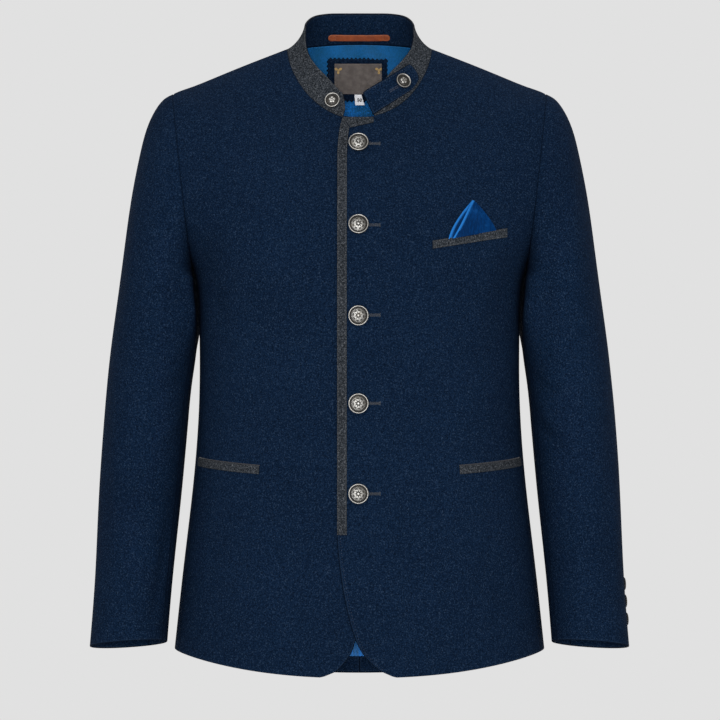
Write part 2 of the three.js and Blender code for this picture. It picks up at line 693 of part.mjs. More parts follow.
// Felt backing, label and size tape on the lining below the neck seam.
const onBack = ([x, z]) => {
  const [turn, rise] = backSpot(x, z);
  if (turn <= centreBack) return facetPlace(leftLining, turn, rise);
  return mirrored([[facetPlace(leftLining, Math.PI - turn, rise)]])[0][0];
};
const rectangle = (left, right, low, high) => (share, up) => [mix(left, right, share), mix(low, high, up)];
const backingOut = foldOuter - liningCloth - layGapInside;
const labelOut = backingOut - trimFelt - layGap;
const labelCloth = 1;
const backing = patch(8, 5, rectangle(-40, 36, -54.5, -3), onBack);
const label = patch(6, 4, rectangle(-30.5, 27.2, -44.8, -9.8), onBack);
const sizeTape = patch(2, 2, rectangle(-6, 6.5, -58.5, -46), onBack);
add('label_backing', wall(backing, backingOut, backingOut - trimFelt), navyWool);
add('label', wall(label, labelOut, labelOut - labelCloth), labelSatin);
add('size_tape', wall(sizeTape, labelOut, labelOut - labelCloth), whiteTape);

// Leather hanging loop across the inside of the collar, sewn down at both ends.
const loopOut = -collarInner - collarLining - layGapInside;
const loopLeather = 1.6;
const loopBow = 2.2;
const loopPlaces = steps(0, 1, 2).map((across) => steps(0, 1, 10).map((share) => {
  const end = Math.abs(2 * share - 1) ** 6;
  const up = mix(0.09 + 0.03 * end, 0.32 - 0.03 * end, across);
  const turn = collarTurn(up, mix(37.5, -38.5, share), 20, 160);
  return raised(collarPlace(turn, up), -loopBow * Math.sin(Math.PI * share) ** 0.7);
}));
add('hanging_loop', wall(loopPlaces, loopOut, loopOut - loopLeather), tanLeather);

// Domed metal buttons on a short shank, turned about their own axis.
const buttonProfile = table(
  'radius height',
  [0, 0.3], [2.8, 0.3], [2.8, 2.4], [10.4, 2.7], [11.7, 3.5], [11.5, 4.8],
  [10.4, 5.3], [9.4, 4.7], [7.6, 6.0], [4.2, 7.0], [0, 7.3],
);
const buttonRadius = 11.7;
const shankGap = 0.3;
const outward = new THREE.Vector3(0, 1, 0);
function button(name, place, out, radius, sides) {
  const scale = radius / buttonRadius;
  const profile = buttonProfile.map((row) => new THREE.Vector2(
    row.radius * scale, shankGap + (row.height - shankGap) * scale));
  const closed = mergeVertices(stripped(new THREE.LatheGeometry(profile, sides)));
  const piece = add(name, closed, oldSilver);
  piece.position.copy(raised(place, out).point);
  piece.quaternion.setFromUnitVectors(outward, place.normal);
}
function stripped(geometry) {
  geometry.deleteAttribute('normal');
  geometry.deleteAttribute('uv');
  return geometry;
}

const frontButtonX = -1.1;
const frontButtons = table('level', [-115], [-209.5], [-311.5], [-412.5], [-516]);
frontButtons.forEach(({ level }, i) => (
  button(`front_button_${i + 1}`, onLeftFront([frontButtonX, level]), 0, buttonRadius, 18)
));

const collarButtonRadius = 9;
const onCollar = (x, z, turn) => collarPlace(...spot(collarPoint, x, z, turn * degree, 0.5, 0.01, 0.02));
button('collar_button_right', onCollar(-30.9, -62.6, 245), 0, collarButtonRadius, 16);
button('collar_button_left', onCollar(49.6, -40.6, -55), layGap + strapCloth, collarButtonRadius, 16);

const cuffButtonRadius = 7.5;
const leftCuffAngle = 14 * degree;
const rightCuffAngle = 34 * degree;
const cuffButtons = table('run', [523], [542], [562]);
cuffButtons.forEach(({ run }, i) => {
  const left = sleevePlace(leftCuffAngle, run);
  const right = mirrored([[sleevePlace(rightCuffAngle, run)]])[0][0];
  button(`cuff_button_left_${i + 1}`, left, 0, cuffButtonRadius, 14);
  button(`cuff_button_right_${i + 1}`, right, 0, cuffButtonRadius, 14);
});

export default coat;
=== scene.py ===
import math
from types import SimpleNamespace

import bpy
import numpy as np
from mathutils import Matrix, Vector


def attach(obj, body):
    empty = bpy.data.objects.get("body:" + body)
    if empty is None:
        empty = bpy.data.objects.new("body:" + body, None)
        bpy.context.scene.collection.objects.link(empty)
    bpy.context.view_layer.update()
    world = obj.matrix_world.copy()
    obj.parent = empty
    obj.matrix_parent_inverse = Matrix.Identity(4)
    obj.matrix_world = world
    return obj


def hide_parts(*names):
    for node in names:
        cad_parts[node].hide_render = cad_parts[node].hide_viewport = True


# Looks of a trachten coat with a stand collar, filled out as if it were worn. Tables and cloth sizes
# are in millimetres and become metres when a mesh is made. +X is the wearer's left, -Y the front.

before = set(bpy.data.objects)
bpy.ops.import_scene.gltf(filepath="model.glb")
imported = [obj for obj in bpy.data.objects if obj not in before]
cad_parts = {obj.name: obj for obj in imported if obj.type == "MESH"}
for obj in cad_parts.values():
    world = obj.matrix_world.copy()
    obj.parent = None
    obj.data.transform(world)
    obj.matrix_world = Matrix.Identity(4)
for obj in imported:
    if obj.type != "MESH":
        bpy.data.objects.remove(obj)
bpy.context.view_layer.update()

MM = 0.001
DEGREE = math.pi / 180

# Cloths and the gaps between their layers
BODY_CLOTH = 2.4
SLEEVE_CLOTH = 2.0
COLLAR_FELT = 1.5
COLLAR_LINING = 1.4
STRAP_CLOTH = 1.6
TRIM_FELT = 1.2
WELT_FELT = 1.6
LINING_CLOTH = 1.0
FOLD_CLOTH = 1.6
LABEL_CLOTH = 0.8
LOOP_LEATHER = 1.6
LAY_GAP = 0.3
# How far panels reach past their seams, so that no gap opens between two of them
SEAM_TUCK = 0.15
ARMHOLE_TUCK = 0.8
# Spacing of the cloth's grids
GRID_STEP = 3.8


# Tables and the tracks through them

def table(names, rows):
    """Columns of a table of numbers, by their names."""
    return dict(zip(names.split(), np.array(rows, float).T))


def spline(at, values):
    """Curve through values with a steady bend at each of them."""
    at, values = np.asarray(at, float), np.asarray(values, float)
    last = len(at) - 1
    step = np.diff(at)
    slope = np.diff(values) / step
    system = np.eye(last + 1)
    load = np.zeros(last + 1)
    for i in range(1, last):
        whole = at[i + 1] - at[i - 1]
        system[i, i - 1 : i + 2] = step[i - 1] / whole, 2, step[i] / whole
        load[i] = 6 * (slope[i] - slope[i - 1]) / whole
    bend = np.linalg.solve(system, load)

    def follow(where):
        where = np.asarray(where, float)
        i = np.clip(np.searchsorted(at, where) - 1, 0, last - 1)
        b = (where - at[i]) / step[i]
        a = 1 - b
        curve = ((a**3 - a) * bend[i] + (b**3 - b) * bend[i + 1]) * step[i] ** 2 / 6
        return a * values[i] + b * values[i + 1] + curve

    return follow


def track(at, values):
    """Smooth curve through values that never passes beyond two neighbours."""
    at, values = np.asarray(at, float), np.asarray(values, float)
    last = len(at) - 1
    step = np.diff(at)
    slope = np.diff(values) / step
    tangent = np.zeros(last + 1)
    tangent[0], tangent[last] = slope[0], slope[-1]
    for i in range(1, last):
        if slope[i - 1] * slope[i] > 0:
            before, after = 2 * step[i] + step[i - 1], step[i] + 2 * step[i - 1]
            tangent[i] = (before + after) / (before / slope[i - 1] + after / slope[i])

    def follow(where):
        where = np.asarray(where, float)
        i = np.clip(np.searchsorted(at, where) - 1, 0, last - 1)
        s = np.clip((where - at[i]) / step[i], 0, 1)
        start = (1 + 2 * s) * (1 - s) ** 2 * values[i] + s * (1 - s) ** 2 * step[i] * tangent[i]
        end = s * s * (3 - 2 * s) * values[i + 1] - s * s * (1 - s) * step[i] * tangent[i + 1]
        return start + end

    return follow


def sections(columns, through=spline):
    """All columns of a table at places of its first column."""
    names = list(columns)
    curves = {name: through(columns[names[0]], columns[name]) for name in names[1:]}
    return lambda where: SimpleNamespace(**{name: curve(where) for name, curve in curves.items()})


def mix(a, b, share):
    return a + (b - a) * share


def smooth(start, stop, value):
    share = np.clip((value - start) / (stop - start), 0, 1)
    return share * share * (3 - 2 * share)


def signed_power(value, power):
    return np.sign(value) * np.abs(value) ** power


def solve(low, high, value):
    """Root of a function that changes sign between two places, for many places at once."""
    low, high = np.broadcast_arrays(np.asarray(low, float), np.asarray(high, float))
    a, b = low.copy(), high.copy()
    rising = value(high) > value(low)
    for _ in range(38):
        middle = (a + b) / 2
        beyond = (value(middle) > 0) == rising
        b = np.where(beyond, middle, b)
        a = np.where(beyond, a, middle)
    return (a + b) / 2


def stack(x, y, z):
    return np.stack(np.broadcast_arrays(x, y, z), axis=-1)


# The body: rings from the hem to the neck

BODY_RINGS = table(
    "rise wide front back mid front_level side_level back_level front_square back_square bow",
    [
        [0, 216, -148, 138, 0, -726, -700, -737, 2.3, 2.3, 2],
        [100, 205, -141, 132, 0, -612, -600, -616, 2.3, 2.3, 2],
        [190, 194.5, -137, 118, 0, -514, -510, -515, 2.3, 2.3, 2],
        [300, 187, -134, 106, 0, -402, -400, -402, 2.3, 2.3, 2],
        [370, 187, -138, 115, 0, -331, -330, -330, 2.3, 2.3, 2],
        [415, 189, -141, 126, 0, -286, -285, -285, 2.3, 2.3, 2],
        [445, 195, -141, 131, 0, -256, -255, -253, 2.3, 2.3, 2],
        [490, 219, -132, 134, 1, -212, -210, -203, 2.3, 2.3, 2],
        [545, 243, -113, 130, 3, -165, -155, -150, 2.3, 2.3, 2],
        [602, 245, -96, 118, 6, -132, -99, -103, 2.05, 2.0, 1.8],
        [646, 225, -84, 104, 8, -110, -57, -65, 1.85, 1.7, 1.6],
        [682, 198, -78.3, 94.3, 8.5, -100.5, -43.7, -48, 1.86, 1.66, 1.46],
        [718, 164, -75, 86, 8, -95, -30.2, -30, 1.95, 1.75, 1.35],
        [807, 84.2, -66, 66, 4, -84, 1, 11, 2.05, 2.1, 1.25],
    ],
)
NECK_RISE = 807
body_at = sections(BODY_RINGS)

# Soft hollows and swells of the worn cloth: side -1 is the front, 1 the back.
DRAPE = table(
    "side across level wide tall out",
    [
        [-1, 168, -270, 20, 70, -3.0],
        [-1, -170, -262, 20, 78, -3.4],
        [-1, 118, -590, 26, 110, 2.2],
        [-1, -126, -600, 24, 100, 2.6],
        [-1, 66, -330, 30, 90, 1.6],
        [1, 150, -230, 24, 80, -3.0],
        [1, -146, -238, 26, 84, -3.4],
        [1, 96, -600, 28, 100, 2.8],
        [1, -88, -610, 30, 96, 2.4],
        [1, 10, -420, 60, 26, -1.6],
    ],
)

# Creases of the body, seen from the front or the back: the two ends, the sideways bow of the
# line between them, the half width of the crease and how far it stands out.
CREASES = table(
    "side x z to_x to_z bow wide out",
    [
        [-1, 176, -212, 150, -330, 10, 13, -1.9],
        [-1, 158, -240, 138, -372, -6, 12, 1.3],
        [-1, -178, -206, -154, -322, -12, 13, -2.1],
        [-1, -160, -250, -142, -380, 8, 12, 1.2],
        [-1, 178, -356, 96, -392, -12, 11, -1.3],
        [-1, 180, -388, 118, -424, -8, 10, 1.0],
        [-1, -178, -350, -104, -398, 12, 11, -1.5],
        [-1, -181, -392, -126, -428, 8, 10, 1.1],
        [-1, 12, -250, 30, -300, 4, 9, -0.5],
        [-1, 8, -352, 26, -396, -3, 9, -0.6],
        [-1, 62, -176, 96, -290, -14, 22, 1.0],
        [-1, -62, -190, -92, -310, 16, 22, 1.1],
        [-1, 150, -520, 166, -690, 6, 15, -1.7],
        [-1, 108, -540, 114, -706, -4, 17, 1.2],
        [-1, -152, -524, -170, -692, -8, 15, -1.9],
        [-1, -104, -548, -112, -704, 5, 17, 1.3],
        [-1, 58, -600, 62, -720, 4, 13, -0.9],
        [-1, -66, -590, -70, -722, -4, 13, -1.0],
        [-1, 120, -78, 186, -140, -10, 16, -1.1],
        [-1, -116, -76, -184, -146, 10, 16, -1.2],
        [1, 170, -190, 140, -320, 10, 14, -2.2],
        [1, -168, -196, -144, -328, -9, 14, -2.4],
        [1, 148, -236, 118, -370, -8, 13, 1.4],
        [1, -146, -228, -116, -362, 8, 13, 1.3],
        [1, 172, -372, 70, -404, -12, 12, -1.9],
        [1, -174, -366, -60, -410, 12, 12, -2.1],
        [1, 160, -418, 84, -440, -8, 11, 1.3],
        [1, -158, -424, -92, -444, 7, 11, 1.2],
        [1, 60, -500, 74, -716, 8, 17, -1.9],
        [1, -72, -510, -84, -718, -7, 17, -1.7],
        [1, 116, -540, 138, -712, 6, 16, 1.6],
        [1, -126, -548, -142, -710, -6, 16, 1.5],
        [1, 60, -52, 128, -100, -12, 18, -1.0],
        [1, -58, -54, -132, -104, 12, 18, -1.1],
    ],
)


def shape_base(turn, rise):
    """Point of the body before its creases, and the side and levels that it lies at."""
    ring = body_at(rise)
    s, c = np.sin(turn), np.cos(turn)
    ahead = s < 0
    square = np.where(ahead, ring.front_square, ring.back_square)
    x = ring.wide * signed_power(c, 2 / square)
    depth = np.where(ahead, ring.front, ring.back) - ring.mid
    level = np.where(ahead, ring.front_level, ring.back_level)
    z = mix(ring.side_level, level, np.abs(s) ** ring.bow)
    side = np.where(ahead, -1.0, 1.0)
    out = 0
    for own, across, height, wide, tall, swell in zip(*DRAPE.values()):
        bump = swell * np.exp(-(((x - across) / wide) ** 2) - ((z - height) / tall) ** 2)
        out = out + np.where(side == own, bump, 0)
    y = ring.mid + (depth + side * out) * np.abs(s) ** (2 / square)
    return stack(x, y, z), side


def stroke(x, z, x0, z0, x1, z1, bow, wide, out):
    """Height of one crease: a bowed line that fades at its ends, with a shallow welt on both sides."""
    length = math.hypot(x1 - x0, z1 - z0)
    ux, uz = (x1 - x0) / length, (z1 - z0) / length
    along = ((x - x0) * ux + (z - z0) * uz) / length
    off = (z - z0) * ux - (x - x0) * uz - bow * 4 * along * (1 - along)
    fade = smooth(-0.12, 0.3, along) * (1 - smooth(0.6, 1.12, along))
    near = (off / wide) ** 2
    return out * fade * (1.25 * np.exp(-near) - 0.25 * np.exp(-near / 6))


def body_point(turn, rise):
    """Point of the body's outer face. turn is 0 at the wearer's left side and 90 degrees behind."""
    point, side = shape_base(turn, rise)
    out = 0
    for own, *line in zip(*CREASES.values()):
        out = out + np.where(side == own, stroke(point[..., 0], point[..., 2], *line), 0)
    out = out * np.abs(np.sin(turn)) ** 0.5
    return point + stack(out * np.cos(turn), out * np.sin(turn), 0 * out)


def seat_on(surface, u, v, du, dv):
    """Points of a surface and their outward directions."""
    across = surface(u + du, v) - surface(u - du, v)
    along = surface(u, v + dv) - surface(u, v - dv)
    normal = np.cross(across, along)
    return surface(u, v), normal / np.linalg.norm(normal, axis=-1, keepdims=True)


# How far each way a surface is felt for its outward direction, by its own two parameters
BODY_REACH = (0.004, 1.0)
SPOT_REACH = (0.002, 0.5)
SLEEVE_REACH = (0.01, 0.5)
COLLAR_REACH = (0.01, 0.02)


def body_seat(turn, rise):
    return seat_on(body_point, turn, rise, *BODY_REACH)


def turn_by(turn, rise, distance):
    """Turn that lies a distance further round the body."""
    passed = body_point(turn + 0.01, rise) - body_point(turn - 0.01, rise)
    return turn + distance / (np.linalg.norm(passed, axis=-1) / 0.02)


def spot(surface, x, z, u, v, du, dv):
    """The two parameters of the surface point that is seen from the front at x and z."""
    x, z, a, b = [np.array(value, float) for value in np.broadcast_arrays(x, z, u, v)]
    for _ in range(26):
        here = surface(a, b)
        by_a = (surface(a + du, b) - here) / du
        by_b = (surface(a, b + dv) - here) / dv
        size = by_a[..., 0] * by_b[..., 2] - by_a[..., 2] * by_b[..., 0]
        dx, dz = x - here[..., 0], z - here[..., 2]
        a = a + 0.8 * (dx * by_b[..., 2] - dz * by_b[..., 0]) / size
        b = b + 0.8 * (dz * by_a[..., 0] - dx * by_a[..., 2]) / size
    return a, b


def front_spot(x, z):
    turn = (-90 + np.asarray(x) / 3) * DEGREE
    return spot(body_point, x, z, turn, np.asarray(z) + 722, *SPOT_REACH)


def back_spot(x, z):
    turn = (90 - np.asarray(x) / 3) * DEGREE
    return spot(body_point, x, z, turn, 690 + np.asarray(z) * 1.2, *SPOT_REACH)


# The armhole lies in a plane that leans out towards the shoulder.
SHOULDER_X, SHOULDER_Z = 218, -52.5
UNDERARM_X, UNDERARM_Z = 195, -255
ARMHOLE_LEAN = (SHOULDER_X - UNDERARM_X) / (SHOULDER_Z - UNDERARM_Z)


def past_armhole(point):
    return point[..., 0] - (UNDERARM_X + ARMHOLE_LEAN * (point[..., 2] - UNDERARM_Z))


def right_body_point(turn, rise):
    """The wearer's right half of the body, mirrored onto the left."""
    return body_point(math.pi - turn, rise) * np.array([-1, 1, 1])


BODY = {"left": body_point, "right": right_body_point}


def armhole_turn(surface, rise, side, tuck=0.0):
    return side * solve(
        0 * rise, 88 * DEGREE + 0 * rise, lambda turn: past_armhole(surface(side * turn, rise)) - tuck
    )


def armhole_rise(surface, turn, tuck=0.0):
    return solve(380 + 0 * turn, 545 + 0 * turn, lambda rise: past_armhole(surface(turn, rise)) - tuck)


UNDERARM_RISE = float(solve(430, 480, lambda rise: past_armhole(body_point(0.0, rise))))
SHOULDER_RISE = float(solve(600, 718, lambda rise: past_armhole(body_point(0.0, rise))))
FRONT_SEAM = -14 * DEGREE
BACK_SEAM = 24 * DEGREE
FRONT_SEAM_RISE = float(armhole_rise(body_point, np.array(FRONT_SEAM)))
BACK_SEAM_RISE = float(armhole_rise(body_point, np.array(BACK_SEAM)))
NECK_EDGE = NECK_RISE + SEAM_TUCK


def panel_side(surface, rise, side):
    """Turn at which a front or back panel ends towards the side."""
    seam, seam_rise = (FRONT_SEAM, FRONT_SEAM_RISE) if side < 0 else (BACK_SEAM, BACK_SEAM_RISE)
    below = turn_by(seam, rise, -side * SEAM_TUCK)
    held = np.clip(rise, UNDERARM_RISE + 0.2, SHOULDER_RISE - 0.2)
    beside = armhole_turn(surface, held, side, ARMHOLE_TUCK)
    above = turn_by(0.0 * rise, rise, -side * SEAM_TUCK)
    return np.where(rise <= seam_rise, below, np.where(rise < SHOULDER_RISE, beside, above))


# Front edges at their heights: over is the left front's x, under the right front's mirrored x.
FRONT_EDGES = table(
    "level over under",
    [
        [-726, 46, 50],
        [-724.8, 40, 43],
        [-719.5, 27, 29],
        [-709, 13, 17.5],
        [-697.6, 3, 9.5],
        [-684, -4, 4.5],
        [-648, -14.5, -7],
        [-603, -22.3, -15],
        [-563, -25.7, -18],
        [-130, -25.7, -18],
        [-104, -24, -18],
        [-82, -19.5, -18],
    ],
)
front_edges = sections(FRONT_EDGES, track)


def edge_turn(surface, rise, edge):
    def beyond(turn):
        point = surface(turn, rise)
        return point[..., 0] - getattr(front_edges(point[..., 2]), edge)

    return solve(-150 * DEGREE + 0 * rise, -20 * DEGREE + 0 * rise, beyond)


# The left front lies on the right one, so it stands out over the whole overlap.
OVERLAP_LIFT = BODY_CLOTH + 0.5
OVERLAP_HELD_TO = 24
OVERLAP_GONE_AT = 62


def left_front_point(turn, rise):
    base, normal = body_seat(turn, rise)
    lift = OVERLAP_LIFT * (1 - smooth(OVERLAP_HELD_TO, OVERLAP_GONE_AT, base[..., 0]))
    return base + normal * lift[..., None]


def on_front(x, z):
    """Seats on the left front at front-view places."""
    turn, rise = front_spot(x, z)
    return seat_on(left_front_point, turn, rise, *BODY_REACH)


def on_back(x, z):
    turn, rise = back_spot(x, z)
    return body_seat(turn, rise)


# Sleeves

SLEEVE_SECTIONS = table(
    "run out_x out_z in_x in_z front back drop egg press",
    [
        [0, 218, -52.5, 195, -255, -66, 80, 0, 1, 0],
        [12, 227.5, -57.5, 194.5, -261, -68, 81, 0, 0.97, 0.3],
        [26, 236.5, -67.5, 194, -267, -69, 82, 0, 0.9, 0.7],
        [48, 247.5, -89, 193, -275, -70, 82, 0, 0.72, 1],
        [78, 256.8, -122.5, 192.3, -286, -71, 82, 0, 0.45, 1],
        [118, 266.5, -172, 191.8, -300, -72, 81, 0, 0.2, 1],
        [168, 275.5, -236, 191.4, -321, -72, 80, 0, 0.05, 1],
        [222, 284, -300, 191.5, -350, -71, 78, 0, 0, 0.35],
        [290, 292.5, -366, 196.3, -393, -69, 74, 0, 0, 0],
        [360, 299.5, -446, 201.6, -450, -67, 67, 0, 0, 0],
        [436, 304.6, -529, 208.8, -529, -69, 55, 1, 0, 0],
        [512, 308, -612, 217.2, -611, -73, 40, 3, 0, 0],
        [594, 314, -697, 223.8, -691, -78, 26, 6.5, 0, 0],
    ],
)
CUFF_RUN = 594
SLEEVE_SQUARE = 2.15
SLEEVE_SEAM_FRONT = -152
SLEEVE_SEAM_BACK = 118
sleeve_at = sections(SLEEVE_SECTIONS)

# Creases of the sleeves by angle and run: the angle is 0 outside, -90 in front and 90 behind.
SLEEVE_CREASES = {
    "left": table(
        "angle run to_angle to_run bow wide out",
        [
            [-150, 268, -84, 330, 10, 13, -2.2],
            [-146, 316, -76, 372, 9, 12, 1.6],
            [-158, 342, -92, 404, -8, 13, -1.9],
            [-40, 60, -66, 250, 12, 20, 1.2],
            [-108, 70, -124, 240, -8, 16, -1.5],
            [-30, 330, -58, 560, 9, 17, -1.3],
            [-96, 430, -112, 585, -6, 15, 1.3],
            [-20, 30, -58, 70, 4, 12, -0.8],
            [70, 60, 96, 240, 10, 17, -1.8],
            [128, 300, 66, 352, 9, 13, 2.0],
            [134, 344, 60, 398, -9, 13, -2.3],
            [124, 404, 74, 440, 6, 12, 1.5],
            [40, 420, 70, 580, 8, 17, -1.2],
            [10, 300, 16, 460, 4, 20, 1.1],
            [24, 40, 52, 110, -5, 14, -1.0],
        ],
    ),
    "right": table(
        "angle run to_angle to_run bow wide out",
        [
            [-154, 282, -90, 336, -9, 13, -2.0],
            [-150, 328, -80, 380, 8, 12, 1.4],
            [-138, 452, -116, 590, 9, 15, -1.9],
            [-36, 66, -62, 260, -10, 20, 1.1],
            [-110, 84, -126, 250, 8, 16, -1.6],
            [-92, 400, -104, 560, -8, 18, 1.4],
            [-28, 350, -50, 580, 7, 16, -1.2],
            [-22, 34, -60, 78, -4, 12, -0.9],
            [74, 70, 98, 250, -9, 17, -1.7],
            [126, 292, 64, 346, -9, 13, 1.9],
            [132, 338, 62, 392, 9, 13, -2.2],
            [126, 398, 78, 436, -6, 12, 1.4],
            [42, 430, 68, 586, -7, 17, -1.3],
            [12, 290, 18, 450, -4, 20, 1.0],
            [26, 46, 54, 116, 5, 14, -0.9],
        ],
    ),
}
SLEEVE_GIRTH = 1.32

# How near the middle of the body the inside of a sleeve lies: in front it folds along the line
# that goes on from the armhole seam, and behind it reaches further in.
FRONT_FOLD = table("level x", [[-340, 188], [-293, 191.6], [-260, 194], [-228, 196.6]])
BACK_FOLD_X = 185.5

ARMHOLE_MIDDLE = np.array([(SHOULDER_X + UNDERARM_X) / 2, 5, (SHOULDER_Z + UNDERARM_Z) / 2])
ARMHOLE_UP = np.array([SHOULDER_X - UNDERARM_X, 0, SHOULDER_Z - UNDERARM_Z])
ARMHOLE_UP = ARMHOLE_UP / np.linalg.norm(ARMHOLE_UP)


def armhole_outline(count=90):
    """Angles and reaches of the armhole in its own plane."""
    angles, reaches = [], []
    wave = 0.5 - 0.5 * np.cos(np.linspace(0, math.pi, count))
    rise = mix(UNDERARM_RISE + 0.01, SHOULDER_RISE - 0.01, wave)
    for side in (-1, 1):
        local = body_point(armhole_turn(body_point, rise, side), rise) - ARMHOLE_MIDDLE
        up, back = local @ ARMHOLE_UP, local[:, 1]
        angles.append(np.arctan2(back, up))
        reaches.append(np.hypot(up, back))
    angles, reaches = np.concatenate(angles), np.concatenate(reaches)
    order = np.argsort(angles)
    return angles[order], reaches[order]


OUTLINE_ANGLES, OUTLINE_REACHES = armhole_outline()


def oval(section, angle):
    """A section's oval in its own plane: its way up and back at an angle."""
    high = np.hypot(section.out_x - section.in_x, section.out_z - section.in_z) / 2
    s, c = np.sin(angle), np.cos(angle)
    middle = (section.front + section.back) / 2
    reach = np.where(s < 0, middle - section.front, section.back - middle)
    up = high * signed_power(c, 2 / SLEEVE_SQUARE)
    return up, middle + reach * signed_power(s, 2 / SLEEVE_SQUARE)


def body_half_width(y, z):
    ring = body_at(z - BODY_RINGS["side_level"][0])
    ahead = y < ring.mid
    reach = np.where(ahead, ring.mid - ring.front, ring.back - ring.mid)
    square = np.where(ahead, ring.front_square, ring.back_square)
    share = np.minimum(np.abs(y - ring.mid) / reach, 1)
    return ring.wide * (1 - share**square) ** (1 / square)


def sleeve_surface(creases):
    """The outer face of a left sleeve with its creases."""
    def point_at(angle, run):
        angle, run = np.broadcast_arrays(np.asarray(angle, float), np.asarray(run, float))
        section = sleeve_at(run)
        up, back = oval(section, angle)
        start_up, start_back = oval(sleeve_at(0 * run), angle)
        direction = np.arctan2(start_back - ARMHOLE_MIDDLE[1], start_up)
        reach = np.interp(direction, OUTLINE_ANGLES, OUTLINE_REACHES, period=2 * math.pi)
        up = up + section.egg * (reach * np.cos(direction) - start_up)
        y = back + section.egg * (ARMHOLE_MIDDLE[1] + reach * np.sin(direction) - start_back)
        tilt_x, tilt_z = section.out_x - section.in_x, section.out_z - section.in_z
        size = np.hypot(tilt_x, tilt_z)
        tilt_x, tilt_z = tilt_x / size, tilt_z / size
        x = (section.out_x + section.in_x) / 2 + tilt_x * up
        z = (section.out_z + section.in_z) / 2 + tilt_z * up - section.drop * np.sin(angle)
        behind = smooth(-20, 30, y)
        beside = smooth(UNDERARM_Z + 2, UNDERARM_Z - mix(14, 5, behind), z)
        clear = body_half_width(y, z) + mix(0.5, 2.4, beside)
        inside = smooth(-0.25, -0.8, np.cos(angle)) * section.press * beside
        held_to = mix(np.interp(z, FRONT_FOLD["level"], FRONT_FOLD["x"]), BACK_FOLD_X, behind)
        pressed = np.maximum(clear, mix(x, np.maximum(clear + 0.4, held_to), inside))
        x = np.where((z < UNDERARM_Z + 2) & (z > -430), pressed, x)
        turned = ((angle / DEGREE + 180) % 360 - 180) * SLEEVE_GIRTH
        out = 0
        for a0, r0, a1, r1, bow, wide, depth in zip(*creases.values()):
            begin, stop = a0 * SLEEVE_GIRTH, a1 * SLEEVE_GIRTH
            out = out + stroke(turned, run, begin, r0, stop, r1, bow, wide, depth)
        out = out * smooth(0, 40, run) * (1 - smooth(0.55, 0.95, -np.cos(angle)) * (run < 250))
        return stack(x + out * np.cos(angle) * tilt_x, y + out * np.sin(angle),
                     z + out * np.cos(angle) * tilt_z)

    return point_at


SLEEVES = {side: sleeve_surface(SLEEVE_CREASES[side]) for side in ("left", "right")}


def sleeve_seat(side, angle, run):
    inward = seat_on(SLEEVES[side], angle, np.maximum(run, SLEEVE_REACH[1]), *SLEEVE_REACH)[1]
    return SLEEVES[side](angle, run), -inward


# The stand collar

COLLAR_EDGE = table(
    "angle x y level",
    [
        [0, 0, -58, -66],
        [20, 20.5, -55.5, -50.8],
        [45, 38, -44, -30.3],
        [62, 51.5, -30, -16],
        [80, 62.5, -12, 2.5],
        [90, 64.5, 0, 16.5],
        [104, 64.5, 14, 28.5],
        [122, 59, 29, 38.3],
        [140, 49.5, 41, 43.3],
        [160, 29.5, 51, 46],
        [180, 0, 54, 46.3],
    ],
)
collar_edge = sections(COLLAR_EDGE, track)
COLLAR_TILT = 3.6
COLLAR_FLARE = 0.85
# The collar's foot goes on a little below the neck seam, so that no light passes there.
COLLAR_FOOT = -0.014
COLLAR_INNER = COLLAR_FELT + 0.1
COLLAR_HIGH = 42
# Lengths round and up the collar that its grid is spaced by
COLLAR_SPAN = (420.0, 44.0)


def collar_point(turn, up):
    """Point of the collar's outer face: up is 0 at the neck seam and 1 at the top edge. At the
    sides it leans in most in its lower half."""
    turn, up = np.broadcast_arrays(np.asarray(turn, float), np.asarray(up, float))
    foot = shape_base(turn, NECK_RISE + 0 * turn)[0]
    from_front = np.abs((turn / DEGREE + 270) % 360 - 180)
    top = collar_edge(from_front)
    side = np.where(np.cos(turn) < 0, -1, 1)
    high = top.level + side * COLLAR_TILT * np.sin(math.pi * np.minimum(from_front / 100, 1))
    inward = up + COLLAR_FLARE * np.cos(turn) ** 2 * up * (1 - up)
    return stack(mix(foot[..., 0], side * top.x, inward), mix(foot[..., 1], top.y, inward),
                 mix(foot[..., 2], high, up))


def collar_seat(turn, up):
    return seat_on(collar_point, turn, up, *COLLAR_REACH)


def collar_turn(up, x, low, high):
    """Turn at which the collar passes an x, between two turns in degrees."""
    def beyond(turn):
        return collar_point(turn, up)[..., 0] - x

    return solve(low * DEGREE + 0 * up, high * DEGREE + 0 * up, beyond)


# Meshes

def lines_at(length, step, rim):
    """Places along a length: close together at both rounded ends and even between them."""
    rim_steps = rim * np.array([0, 0.08, 0.3, 0.62, 1.0])
    count = max(2, int(round((length - 2 * rim) / step)))
    return rim_steps, np.linspace(rim, length - rim, count + 1)[1:-1], length - rim_steps[::-1]


def shares_at(widths, step, rim):
    """Shares across rows of given widths: rows keep the same number of places."""
    widths = np.atleast_1d(widths)
    start, middle, _ = lines_at(np.max(widths), step, rim)
    even = (middle - rim) / (np.max(widths) - 2 * rim)
    rows = []
    for width in widths:
        edge = start / width
        inner = rim / width + even * (1 - 2 * rim / width)
        rows.append(np.concatenate([edge, inner, 1 - edge[::-1]]))
    return np.array(rows)


def to_edges(points):
    """Distance of each place of a grid from the grid's four edges, measured along its lines."""
    def run(block):
        gaps = np.linalg.norm(np.diff(block, axis=0), axis=-1)
        from_start = np.concatenate([np.zeros((1, block.shape[1])), np.cumsum(gaps, axis=0)])
        return from_start, from_start[-1] - from_start

    down, up = run(points)
    left, right = (side.T for side in run(points.transpose(1, 0, 2)))
    return down, up, left, right


